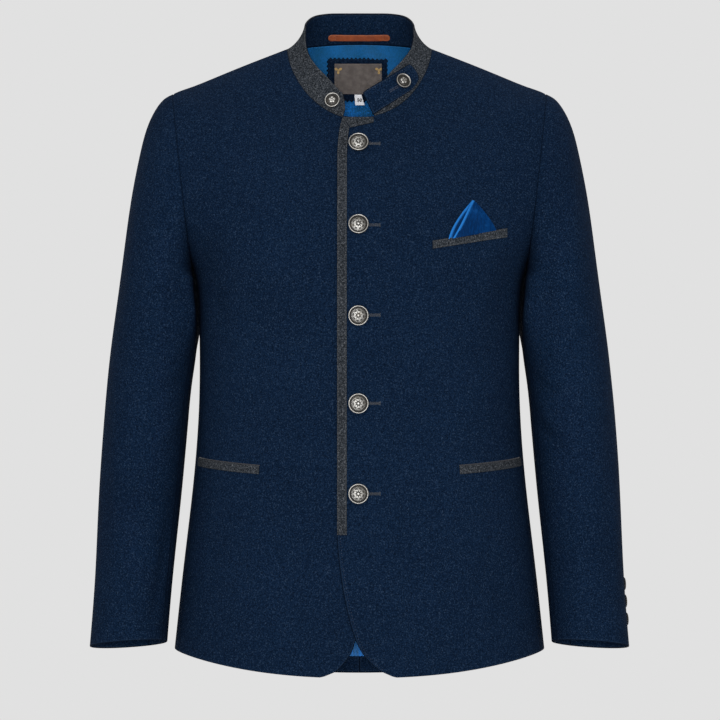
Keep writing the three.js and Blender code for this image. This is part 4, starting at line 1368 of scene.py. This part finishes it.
def size_number():
    """The size as plain digits, printed on the tape."""
    curve = bpy.data.curves.new("size_digits", "FONT")
    curve.body = "50"
    curve.size = DIGITS_HIGH * MM
    curve.align_x = "CENTER"
    curve.align_y = "CENTER"
    curve.extrude = 0.05 * MM
    curve.offset = DIGITS_BOLDER * MM
    curve.resolution_u = 4
    text = bpy.data.objects.new("size_digits", curve)
    bpy.context.scene.collection.objects.link(text)
    bpy.context.view_layer.update()
    mesh = bpy.data.meshes.new_from_object(text.evaluated_get(bpy.context.evaluated_depsgraph_get()))
    bpy.data.objects.remove(text)
    point, normal = raised(on_back(*NUMBER_SPOT), LABEL_OUT - LABEL_CLOTH - 0.75)
    facing = Vector(-normal)
    across = Vector((1, 0, 0)) - facing * facing.x
    across.normalize()
    mesh.transform(Matrix((across, facing.cross(across), facing)).transposed().to_4x4())
    mesh.transform(Matrix.Translation(Vector(point) * MM))
    mesh.materials.clear()
    mesh.materials.append(INK_AND_SHADOW)
    made = bpy.data.objects.new("size_number", mesh)
    bpy.context.scene.collection.objects.link(made)
    finished(made, "white_tape")


LOOP_OUT = -COLLAR_INNER - COLLAR_LINING - 0.2
LOOP_BOW = 2.4
LOOP_LONG = 75.5
LOOP_HALF = 4.2
LOOP_SEWN = 9
LOOP_UP = 0.228


def loop_seats(share, across):
    """Places on the leather loop, from the wearer's left end; across is 0 at its lower edge."""
    from_end = np.minimum(share, 1 - share) * LOOP_LONG
    half = LOOP_HALF * np.sqrt(np.clip(1 - (1 - np.clip(from_end / LOOP_HALF, 0, 1)) ** 2, 0.0, 1))
    up = LOOP_UP + (2 * across - 1) * half / COLLAR_HIGH
    turn = collar_turn(up, mix(37.5, -38.5, share), 20, 160)
    free = (share * LOOP_LONG - LOOP_SEWN) / (LOOP_LONG - 2 * LOOP_SEWN)
    bowed = LOOP_BOW * np.sin(math.pi * np.clip(free, 0, 1)) ** 0.6
    points, normals = collar_seat(turn, up)
    return points + normals * (LOOP_OUT - bowed)[..., None], normals


def hanging_loop():
    share, across = np.meshgrid(shares_at(LOOP_LONG, 1.6, 1.2)[0], shares_at(9.2, 0.9, 0.6)[0])
    share = np.clip(share, 0.004, 0.996)
    piece = shell("leather_loop", *loop_seats(share, across), LOOP_LEATHER, LEATHER, rim=0.8)
    finished(piece, "tan_leather", "hanging_loop")


# Buttons

BUTTON_RADIUS = 11.7
SHANK_RADIUS = 2.8
SHANK_GAP = 0.3

# Front of a button from its rim to its middle, without ornament
DOME = table(
    "radius height",
    [[0, 6.5], [2.5, 6.35], [5, 5.75], [7.3, 4.85], [8.9, 4.1], [9.5, 3.95], [10.1, 4.75], [10.8, 5.25],
     [11.35, 4.9], [11.7, 4.1], [11.6, 3.3], [10.8, 2.8]],
)
# Front of a collar button: a high rim round a flat dark ring and a raised middle
DISH = table(
    "radius height",
    [[0, 5.9], [2.5, 5.75], [4.8, 5.1], [6.1, 4.1], [7.0, 3.55], [9.0, 3.5], [9.7, 4.4], [10.5, 5.2],
     [11.2, 5.0], [11.7, 4.1], [11.6, 3.3], [10.8, 2.8]],
)


def rosette(radius, angle):
    """Ornament of a front button: a flower in a ring of beads. Gives height and how rubbed it is."""
    petals = np.abs(np.cos(4 * angle)) ** 0.7
    leaf = petals * smooth(1.9, 3.0, radius) * (1 - smooth(5.0, 6.1, radius + 1.3 * (1 - petals)))
    vein = 0.35 * np.exp(-((np.sin(4 * angle) * radius / 0.45) ** 2)) * leaf
    between = np.abs(np.sin(4 * angle)) ** 3 * smooth(3.6, 4.6, radius) * (1 - smooth(6.2, 7.2, radius))
    boss = 1 - smooth(1.0, 1.8, radius)
    beads = np.abs(np.cos(14 * angle)) ** 1.5 * np.exp(-(((radius - 7.9) / 0.55) ** 2))
    ring = np.exp(-(((radius - 6.95) / 0.3) ** 2))
    rim = np.exp(-(((radius - 10.8) / 0.65) ** 2))
    cord = 0.5 + 0.5 * np.cos(40 * angle + radius)
    flower = 0.62 * leaf - 0.5 * vein + 0.42 * between + 0.7 * boss
    height = flower + 0.42 * beads + 0.25 * ring + 0.1 * cord * rim
    shown = 0.85 * leaf - 0.6 * vein + 0.7 * between + boss + 0.95 * beads + 0.7 * ring + rim
    return height, np.clip(shown, 0, 1)


def blossom(radius, angle):
    """Ornament of a collar button: a small five-petalled flower."""
    petals = np.abs(np.cos(2.5 * angle)) ** 0.6
    leaf = petals * smooth(1.3, 2.2, radius) * (1 - smooth(4.7, 5.7, radius + 1.1 * (1 - petals)))
    boss = (1 - smooth(0.8, 1.5, radius)) * 0.8
    rim = np.exp(-(((radius - 10.5) / 0.8) ** 2))
    inner = np.exp(-(((radius - 6.2) / 0.35) ** 2))
    cord = 0.5 + 0.5 * np.cos(36 * angle)
    height = 0.75 * leaf + boss + 0.12 * cord * rim + 0.15 * inner
    return height, np.clip(leaf + boss + rim + 0.5 * inner, 0, 1)


# Back of every button, from under its rim to the foot of its shank
BACK = table("radius height", [[9.6, 2.35], [6, 2.2], [SHANK_RADIUS, 2.1], [SHANK_RADIUS, SHANK_GAP]])
BACK_RUBBED = 0.3
FOOT_RUBBED = 0.2


def button(name, node, seat, radius, profile, ornament, sectors, rings, lean=0.0, thick=1.0):
    """A cast button on its shank. Its front faces along the cloth's outward direction, turned by
    lean about it. thick is its height as a share of the full one."""
    scale = radius / BUTTON_RADIUS
    front = track(np.linspace(0, 1, len(profile["radius"])), profile["radius"])
    level = track(np.linspace(0, 1, len(profile["radius"])), profile["height"])
    along = np.linspace(0, 1, rings + 1)[1:]
    angle = np.linspace(0, 2 * math.pi, sectors, endpoint=False)
    ring_r, ring_a = np.meshgrid(front(along), angle, indexing="ij")
    lift, shown = ornament(ring_r, ring_a)
    face = smooth(1.0, 0.86, along)[:, None]
    ring_h = level(along)[:, None] + lift * face
    back_r, back_h = (np.repeat(column[:, None], sectors, axis=1) for column in BACK.values())
    all_r, all_h = np.concatenate([ring_r, back_r]), np.concatenate([ring_h, back_h])
    all_a = np.broadcast_to(angle, all_r.shape)
    shades = np.concatenate([shown, np.full(back_r.shape, BACK_RUBBED)])
    local = np.stack([all_r * np.cos(all_a), all_r * np.sin(all_a), all_h], -1).reshape(-1, 3)
    top_h, top_shown = ornament(np.array(0.0), np.array(0.0))
    local = np.concatenate([local, [[0, 0, profile["height"][0] + top_h], [0, 0, SHANK_GAP]]])
    shades = np.concatenate([shades.ravel(), [float(top_shown), FOOT_RUBBED]])
    count = len(all_r)
    number = np.arange(count * sectors).reshape(count, sectors)
    step = np.roll(number, -1, axis=1)
    quads = np.stack([number[:-1], number[1:], step[1:], step[:-1]], -1).reshape(-1, 4).tolist()
    tip, foot = count * sectors, count * sectors + 1
    caps = [[tip, int(a), int(b)] for a, b in zip(number[0], step[0])]
    caps += [[foot, int(b), int(a)] for a, b in zip(number[-1], step[-1])]
    point, normal = (np.asarray(value, float).reshape(3) for value in seat)
    across = np.cross([0, 0, 1.0], normal)
    across = across / np.linalg.norm(across)
    up = np.cross(normal, across)
    c, s = math.cos(lean), math.sin(lean)
    across, up = c * across + s * up, c * up - s * across
    spots = local * np.array([scale, scale, 1])
    spots[:, 2] = SHANK_GAP + (spots[:, 2] - SHANK_GAP) * scale * thick
    spots = point + spots[:, :1] * across + spots[:, 1:2] * up + spots[:, 2:3] * normal
    piece = mesh_object(name, spots, quads + caps, SILVER, attributes={"relief": shades})
    finished(piece, "old_silver", node)


FRONT_BUTTON_X = -1.1
FRONT_BUTTONS = (-115, -209.5, -311.5, -412.5, -516)
COLLAR_BUTTON_RADIUS = 9
CUFF_BUTTON_RADIUS = 7.5
CUFF_BUTTON_THICK = 0.72
CUFF_BUTTONS = (523, 542, 562)
CUFF_ANGLES = {"left": 14, "right": 34}
# Collar buttons: the place seen from the front, the turn near it and how far the button is out
COLLAR_BUTTONS = {"right": (-30.9, -62.6, 245, 0), "left": (49.6, -40.6, -55, STRAP_RISE)}


def all_buttons():
    for i, z in enumerate(FRONT_BUTTONS):
        seat = on_front(np.array(FRONT_BUTTON_X), np.array(z))
        button(f"button_front_{i + 1}", f"front_button_{i + 1}", seat, BUTTON_RADIUS, DOME, rosette,
               112, 44, 0.3 * i)
    for side, (x, z, turn, out) in COLLAR_BUTTONS.items():
        where = spot(collar_point, x, z, turn * DEGREE, 0.5, *COLLAR_REACH)
        seat = raised(collar_seat(*where), out)
        name = f"collar_button_{side}"
        button(f"button_collar_{side}", name, seat, COLLAR_BUTTON_RADIUS, DISH, blossom, 80, 34, 0.4)
    for side, angle in CUFF_ANGLES.items():
        for i, run in enumerate(CUFF_BUTTONS):
            point, normal = sleeve_seat(side, np.array(angle * DEGREE), np.array(float(run)))
            flip = np.array([-1 if side == "right" else 1, 1, 1])
            name = f"cuff_button_{side}_{i + 1}"
            button(f"button_cuff_{side}_{i + 1}", name, (point * flip, normal * flip),
                   CUFF_BUTTON_RADIUS, DOME, rosette, 64, 30, 0.5 * i, CUFF_BUTTON_THICK)


# Hand and machine sewing: one tree lays a thread stitch at even steps along the lines of a curve.

def stitch_tree():
    tree = bpy.data.node_groups.new("row_of_stitches", "GeometryNodeTree")
    face = tree.interface
    face.new_socket("Lines", in_out="INPUT", socket_type="NodeSocketGeometry")
    inputs = (
        ("Pitch", "NodeSocketFloat", 0.003),
        ("Stitch Length", "NodeSocketFloat", 0.0016),
        ("Thread Width", "NodeSocketFloat", 0.0005),
        ("Crosswise", "NodeSocketFloat", 0.0),
        ("Unevenness", "NodeSocketFloat", 0.08),
        ("Facing", "NodeSocketVector", (0, -1, 0)),
        ("Seed", "NodeSocketInt", 4),
        ("Thread", "NodeSocketMaterial", None),
    )
    for name, kind, value in inputs:
        socket = face.new_socket(name, in_out="INPUT", socket_type=kind)
        if value is not None:
            socket.default_value = value
    face.new_socket("Stitches", in_out="OUTPUT", socket_type="NodeSocketGeometry")
    make, link = tree.nodes.new, tree.links.new
    given, result = make("NodeGroupInput"), make("NodeGroupOutput")
    points = make("GeometryNodeCurveToPoints")
    points.mode = "LENGTH"
    link(given.outputs["Lines"], points.inputs["Curve"])
    link(given.outputs["Pitch"], points.inputs["Length"])
    along = make("FunctionNodeAlignRotationToVector")
    along.axis = "X"
    link(points.outputs["Tangent"], along.inputs["Vector"])
    facing = make("FunctionNodeAlignRotationToVector")
    facing.axis = "Z"
    facing.pivot_axis = "X"
    link(along.outputs["Rotation"], facing.inputs["Rotation"])
    link(given.outputs["Facing"], facing.inputs["Vector"])
    uneven = make("FunctionNodeRandomValue")
    uneven.data_type = "FLOAT"
    link(given.outputs["Seed"], uneven.inputs["Seed"])
    low = make("ShaderNodeMath")
    low.operation = "MULTIPLY"
    low.inputs[1].default_value = -1
    link(given.outputs["Unevenness"], low.inputs[0])
    link(low.outputs[0], uneven.inputs[2])
    link(given.outputs["Unevenness"], uneven.inputs[3])
    swing = make("ShaderNodeMath")
    swing.operation = "ADD"
    link(given.outputs["Crosswise"], swing.inputs[0])
    link(uneven.outputs[1], swing.inputs[1])
    about = make("ShaderNodeCombineXYZ")
    link(swing.outputs[0], about.inputs["Z"])
    turned = make("FunctionNodeRotateRotation")
    turned.rotation_space = "LOCAL"
    link(facing.outputs["Rotation"], turned.inputs["Rotation"])
    link(about.outputs[0], turned.inputs["Rotate By"])
    bead = make("GeometryNodeMeshUVSphere")
    bead.inputs["Segments"].default_value = 8
    bead.inputs["Rings"].default_value = 6
    bead.inputs["Radius"].default_value = 0.5
    size = make("ShaderNodeCombineXYZ")
    link(given.outputs["Stitch Length"], size.inputs["X"])
    link(given.outputs["Thread Width"], size.inputs["Y"])
    link(given.outputs["Thread Width"], size.inputs["Z"])
    place = make("GeometryNodeInstanceOnPoints")
    link(points.outputs["Points"], place.inputs["Points"])
    link(bead.outputs["Mesh"], place.inputs["Instance"])
    link(turned.outputs["Rotation"], place.inputs["Rotation"])
    link(size.outputs[0], place.inputs["Scale"])
    real = make("GeometryNodeRealizeInstances")
    link(place.outputs[0], real.inputs[0])
    smooth_faces = make("GeometryNodeSetShadeSmooth")
    link(real.outputs[0], smooth_faces.inputs[0])
    dressed = make("GeometryNodeSetMaterial")
    link(smooth_faces.outputs[0], dressed.inputs["Geometry"])
    link(given.outputs["Thread"], dressed.inputs["Material"])
    link(dressed.outputs[0], result.inputs[0])
    return tree


STITCHES = stitch_tree()


def stitched(name, rows, slot, **sizes):
    """A mesh of stitches along rows of points in millimetres."""
    curve = bpy.data.curves.new(name + "_lines", "CURVE")
    curve.dimensions = "3D"
    for row in rows:
        line = curve.splines.new("POLY")
        line.points.add(len(row) - 1)
        flat = np.concatenate([np.asarray(row) * MM, np.ones((len(row), 1))], axis=1)
        line.points.foreach_set("co", flat.ravel())
    carrier = bpy.data.objects.new(name + "_lines", curve)
    bpy.context.scene.collection.objects.link(carrier)
    sewing = carrier.modifiers.new("sewing", "NODES")
    sewing.node_group = STITCHES
    for item in STITCHES.interface.items_tree:
        if item.name.replace(" ", "_") in sizes and item.in_out == "INPUT":
            sewing[item.identifier] = sizes[item.name.replace(" ", "_")]
    bpy.context.view_layer.update()
    mesh = bpy.data.meshes.new_from_object(carrier.evaluated_get(bpy.context.evaluated_depsgraph_get()))
    bpy.data.objects.remove(carrier)
    made = bpy.data.objects.new(name, mesh)
    bpy.context.scene.collection.objects.link(made)
    return finished(made, slot)


def front_line(x, z, out):
    points, normals = on_front(np.asarray(x, float), np.asarray(z, float))
    return points + normals * out


HOLE_START, HOLE_END = 10.6, 24.2
HOLE_HALF = 1.2
BAR_HALF = 1.8


def buttonholes():
    """Worked keyholes: crosswise stitches on both sides of the slit and a bar at its end."""
    sides, bars = [], []
    for z in FRONT_BUTTONS:
        x = np.linspace(FRONT_BUTTON_X + HOLE_START, FRONT_BUTTON_X + HOLE_END, 24)
        for side in (-1, 1):
            sides.append(front_line(x, z + side * HOLE_HALF + 0 * x, 0.12))
        for i in range(2):
            up = np.linspace(z - BAR_HALF, z + BAR_HALF, 8)
            bars.append(front_line(FRONT_BUTTON_X + HOLE_END + 0.1 + 0.42 * i + 0 * up, up, 0.1))
    stitched("buttonhole_edges", sides, "navy_wool", Pitch=0.62 * MM, Stitch_Length=1.1 * MM,
             Thread_Width=0.45 * MM, Crosswise=math.pi / 2, Unevenness=0.12, Thread=HOLE_THREAD)
    stitched("buttonhole_bars", bars, "navy_wool", Pitch=0.9 * MM, Stitch_Length=1.3 * MM,
             Thread_Width=0.45 * MM, Unevenness=0.1, Thread=HOLE_THREAD)


def buttonhole_shadows():
    """Painted shadow in the slits of the buttonholes: thin dark sheets let into the cloth between their
    stitches.
    """
    for i, z in enumerate(FRONT_BUTTONS):
        def outline(share, up):
            x = mix(FRONT_BUTTON_X + HOLE_START - 1, FRONT_BUTTON_X + HOLE_END, share)
            return x, z + 0.45 * (2 * up - 1)

        seats = raised(patch(14.6, 0.9, outline, on_front, 1.2, 0.2), 0.06)
        finished(shell(f"buttonhole_slit_{i + 1}", *seats, 0.5, INK_AND_SHADOW, rim=0.2), "navy_wool")


def strap_hole():
    """The keyhole in the throat strap, which its button leaves half covered."""
    along = np.linspace(0.42, 0.60, 14)
    rows = [strap_seats(along, 0.5 + 0 * along + side * 0.032)[0] for side in (-1, 1)]
    normal = strap_seats(np.array([0.5]), np.array([0.5]))[1][0]
    rows = [row + normal * 0.05 for row in rows]
    stitched("strap_buttonhole", rows, "navy_wool", Pitch=0.62 * MM, Stitch_Length=1.2 * MM,
             Thread_Width=0.4 * MM, Crosswise=math.pi / 2, Facing=tuple(float(v) for v in normal),
             Unevenness=0.12, Thread=NAVY_THREAD)


def pick_stitching():
    """Hand-like pick stitches near the finished edges."""
    level = np.linspace(-560, -716, 120)
    edge = [front_line(front_edges(level).over + 4.2, level, 0.05)]
    up = 0.955
    begin, stop = collar_ends(np.array([up]))
    turns = np.linspace(float(begin[0]) + 0.03, float(stop[0]) - 0.03, 160)
    collar = [raised(collar_seat(turns, up + 0 * turns), 0.05)[0]]
    strap = []
    along = np.linspace(0.04, 0.97, 60)
    for across in (0.06, 0.94):
        strap.append(raised(strap_seats(along, across + 0 * along), 0.02)[0])
    sizes = dict(Pitch=3.4 * MM, Stitch_Length=1.3 * MM, Thread_Width=0.36 * MM, Unevenness=0.06)
    stitched("front_edge_stitches", edge, "navy_wool", Thread=NAVY_THREAD, **sizes)
    stitched("collar_stitches", collar, "grey_felt", Thread=GREY_THREAD, **sizes)
    stitched("strap_stitches", strap, "navy_wool", Thread=NAVY_THREAD, **sizes)


def trim_stitching():
    """Edge stitches that hold the felt down along both sides of the trim and the welts."""
    rows = []
    for across in (0.9, TRIM_WIDTH - 0.9):
        level = np.linspace(TRIM_BOTTOM + 1, NECK_LINE - MITRE_DROP * across / TRIM_WIDTH - 1, 220)
        x = front_edges(level).over + 0.3 + across
        rows.append(front_line(x, level, LAY_GAP + TRIM_FELT + 0.02))
    for up in (0.12, 0.88):
        share = np.linspace(0.02, 0.98, 50)
        rows.append(front_line(*chest_outline(share, up), LAY_GAP + WELT_FELT + 0.02))
    stitched("trim_stitches", rows, "grey_felt", Pitch=2.9 * MM, Stitch_Length=1.7 * MM,
             Thread_Width=0.3 * MM, Unevenness=0.05, Thread=GREY_THREAD)


def loop_stitching():
    rows = []
    for begin, stop in ((0.045, 0.115), (0.885, 0.955)):
        for across in (0.25, 0.75):
            share = np.linspace(begin, stop, 8)
            points, normals = loop_seats(share, across + 0 * share)
            rows.append(points - normals * (LOOP_LEATHER + 0.02))
        across = np.linspace(0.25, 0.75, 6)
        for share in (begin, stop):
            points, normals = loop_seats(share + 0 * across, across)
            rows.append(points - normals * (LOOP_LEATHER + 0.02))
    stitched("loop_stitches", rows, "tan_leather", Pitch=1.9 * MM, Stitch_Length=1.5 * MM,
             Thread_Width=0.5 * MM, Unevenness=0.05, Thread=TAN_THREAD)


def label_stitching():
    rows = []
    corners = ((-29.3, -43.6), (26, -43.6), (26, -11), (-29.3, -11), (-29.3, -43.6))
    for (x0, z0), (x1, z1) in zip(corners, corners[1:]):
        share = np.linspace(0, 1, 30)
        points, normals = on_back(mix(x0, x1, share), mix(z0, z1, share))
        rows.append(points + normals * (LABEL_OUT - LABEL_CLOTH - 0.02))
    stitched("label_stitches", rows, "label_satin", Pitch=2.1 * MM, Stitch_Length=1.4 * MM,
             Thread_Width=0.3 * MM, Unevenness=0.04, Thread=TAUPE_THREAD)


def pocket_shadows():
    """Painted shadow in the openings of the hip pockets: thin dark sheets along the upper edges of
    their welts.
    """
    for side in ("left", "right"):
        share, up = np.meshgrid(shares_at(91.0, 2.2, 0.7)[0], shares_at(1.5, 0.5, 0.3)[0])
        turns = mix(HIP_TURN, FRONT_SEAM, share * 0.985)
        heights = HIP_RISE + HIP_WELT_CLIMB * share + HIP_WELT_HIGH - 0.3 + 1.3 * up
        own = left_front_point if side == "left" else BODY[side]
        seats = raised(seat_on(own, turns, heights, *BODY_REACH), 0.08)
        piece = shell(f"pocket_mouth_{side}", *seats, 0.4, INK_AND_SHADOW, rim=0.2, mirror=side == "right")
        finished(piece, "navy_wool")


def shank_threads():
    """Thread wound between each front button and the cloth."""
    rows = []
    for z in FRONT_BUTTONS:
        point, normal = on_front(np.array(FRONT_BUTTON_X), np.array(z))
        for i in range(3):
            angle = np.linspace(0, 2 * math.pi, 13)
            across = np.stack([np.cos(angle), 0 * angle, np.sin(angle)], -1) * 2.0
            rows.append(point + across + normal * (0.1 + 0.45 * i))
    stitched("shank_threads", rows, "grey_felt", Pitch=0.9 * MM, Stitch_Length=1.5 * MM,
             Thread_Width=0.5 * MM, Unevenness=0.05, Thread=GREY_THREAD)


# Building the coat

fronts = [front_panel(side) for side in ("left", "right")]
sides = [side_panel(side) for side in ("left", "right")]
backs = [back_panel(side) for side in ("left", "right")]
folds = [hem_fold(side) for side in ("left", "right")]
linings = [back_lining(side) for side in ("left", "right")]
tops = [
    sleeve_piece(side, "sleeve_top", ["sleeve_top_upper", "sleeve_top_lower"], SLEEVE_SEAM_FRONT,
                 SLEEVE_SEAM_BACK)
    for side in ("left", "right")
]
unders = [
    sleeve_piece(side, "sleeve_under", ["sleeve_under"], SLEEVE_SEAM_BACK, 360 + SLEEVE_SEAM_FRONT)
    for side in ("left", "right")
]
collar_felt, collar_wool = stand_collar()
strap = throat_strap()
trims = [front_trim(), neck_trim()]
welts = [hip_welt(side) for side in ("left", "right")] + [chest_welt()]
leaves = pocket_square()
backing, label, tape = label_backing(), woven_patch(), size_tape()
size_number()
hanging_loop()
all_buttons()
buttonholes()
buttonhole_shadows()
strap_hole()
pick_stitching()
trim_stitching()
loop_stitching()
label_stitching()
pocket_shadows()
shank_threads()


# How each piece was cut before it was sewn: its width and length, the share of them that its
# outline fills, how the coat holds it and what it lies on

def cut(pieces, width, length, filled, held, *under):
    for piece in pieces:
        width * MM
        length * MM
        filled * width * length * MM**2


cut(fronts, 310, 720, 0.79, "hung")
cut(sides, 105, 480, 0.92, "hung")
cut(backs, 260, 730, 0.83, "hung")
cut(tops, 310, 660, 0.76, "hung")
cut(unders, 105, 560, 0.77, "hung")
cut([collar_felt], 400, 42, 0.88, "hung")
cut([collar_wool], 392, 42, 0.88, "laid", collar_felt)
cut([strap], 66, 34, 0.95, "folded", collar_felt)
cut([trims[0]], TRIM_WIDTH, 485, 0.99, "laid", fronts[0])
cut([trims[1]], 36, 14, 0.8, "laid", fronts[0])
cut([welts[2]], 87, 10.5, 1, "laid", fronts[0])
cut(leaves[:1], 44, 46, 0.48, "folded", fronts[0])
cut(leaves[1:], 46, 46, 0.54, "folded", fronts[0], leaves[0])
for front, back, welt, fold, lining in zip(fronts, backs, welts, folds, linings):
    cut([welt], 92, 10, 1, "laid", front)
    cut([fold], 260, HEM_FOLD, 0.98, "folded", back)
    cut([lining], 255, 712, 0.83, "laid", back)
cut([backing], 76, 51.5, 1, "laid", *linings)
cut([label], 57.7, 35, 1, "laid", backing)
cut([tape], 12, 13, 0.9, "laid", backing)


# Stage: a pale floor, soft light and the camera

def soft_light(name, place, aim, size, power, colour=(1, 1, 1)):
    lamp = bpy.data.lights.new(name, "AREA")
    lamp.shape = "DISK"
    lamp.size = size
    lamp.energy = power
    lamp.color = colour
    made = bpy.data.objects.new(name, lamp)
    made.location = place
    made.rotation_euler = (Vector(aim) - Vector(place)).to_track_quat("-Z", "Y").to_euler()
    bpy.context.scene.collection.objects.link(made)


FLOOR_LEVEL = -1.35
FLOOR_HALF = 7.0
COAT_MIDDLE = (0, 0, -0.36)


def studio():
    half = FLOOR_HALF
    mesh = bpy.data.meshes.new("pale_floor")
    corners = [(-half, -half), (half, -half), (half, half), (-half, half)]
    mesh.from_pydata([(x, y, FLOOR_LEVEL) for x, y in corners], [], [(0, 1, 2, 3)])
    floor = bpy.data.objects.new("pale_floor", mesh)
    bpy.context.scene.collection.objects.link(floor)
    paint = Finish("floor_paint")
    fine = paint.noise(paint.place(), 3, 2, 0.5)
    colour = paint.blend(fine, (0.70, 0.70, 0.70), (0.73, 0.73, 0.73))
    mesh.materials.append(paint.done(Base_Color=colour, Roughness=0.9))
    world = bpy.data.worlds.new("studio")
    world.use_nodes = True
    world.node_tree.nodes["Background"].inputs["Color"].default_value = (0.753, 0.753, 0.753, 1)
    world.node_tree.nodes["Background"].inputs["Strength"].default_value = 1.0
    bpy.context.scene.world = world
    soft_light("key", (-1.6, -4.2, 1.5), COAT_MIDDLE, 2.6, 60)
    soft_light("fill", (2.2, -3.6, 0.3), COAT_MIDDLE, 2.4, 25)
    soft_light("front", (0, -6.4, -0.36), COAT_MIDDLE, 0.5, 190)
    soft_light("top", (0.2, 1.4, 2.6), COAT_MIDDLE, 2.2, 40)
    bpy.context.scene.view_settings.view_transform = "Standard"


CAMERA_AWAY = 6.0
CAMERA_X = 0.0006
CAMERA_Z = -0.363
SEEN_WIDTH = 0.842
SENSOR = 36.0


def photo_camera():
    lens = bpy.data.cameras.new("photo_camera")
    lens.sensor_width = SENSOR
    lens.lens = SENSOR * CAMERA_AWAY / SEEN_WIDTH
    lens.clip_end = 60
    camera = bpy.data.objects.new("photo_camera", lens)
    camera.location = (CAMERA_X, -CAMERA_AWAY, CAMERA_Z)
    camera.rotation_euler = (math.pi / 2, 0, 0)
    bpy.context.scene.collection.objects.link(camera)
    bpy.context.scene.camera = camera


studio()
photo_camera()

bpy.context.view_layer.update()
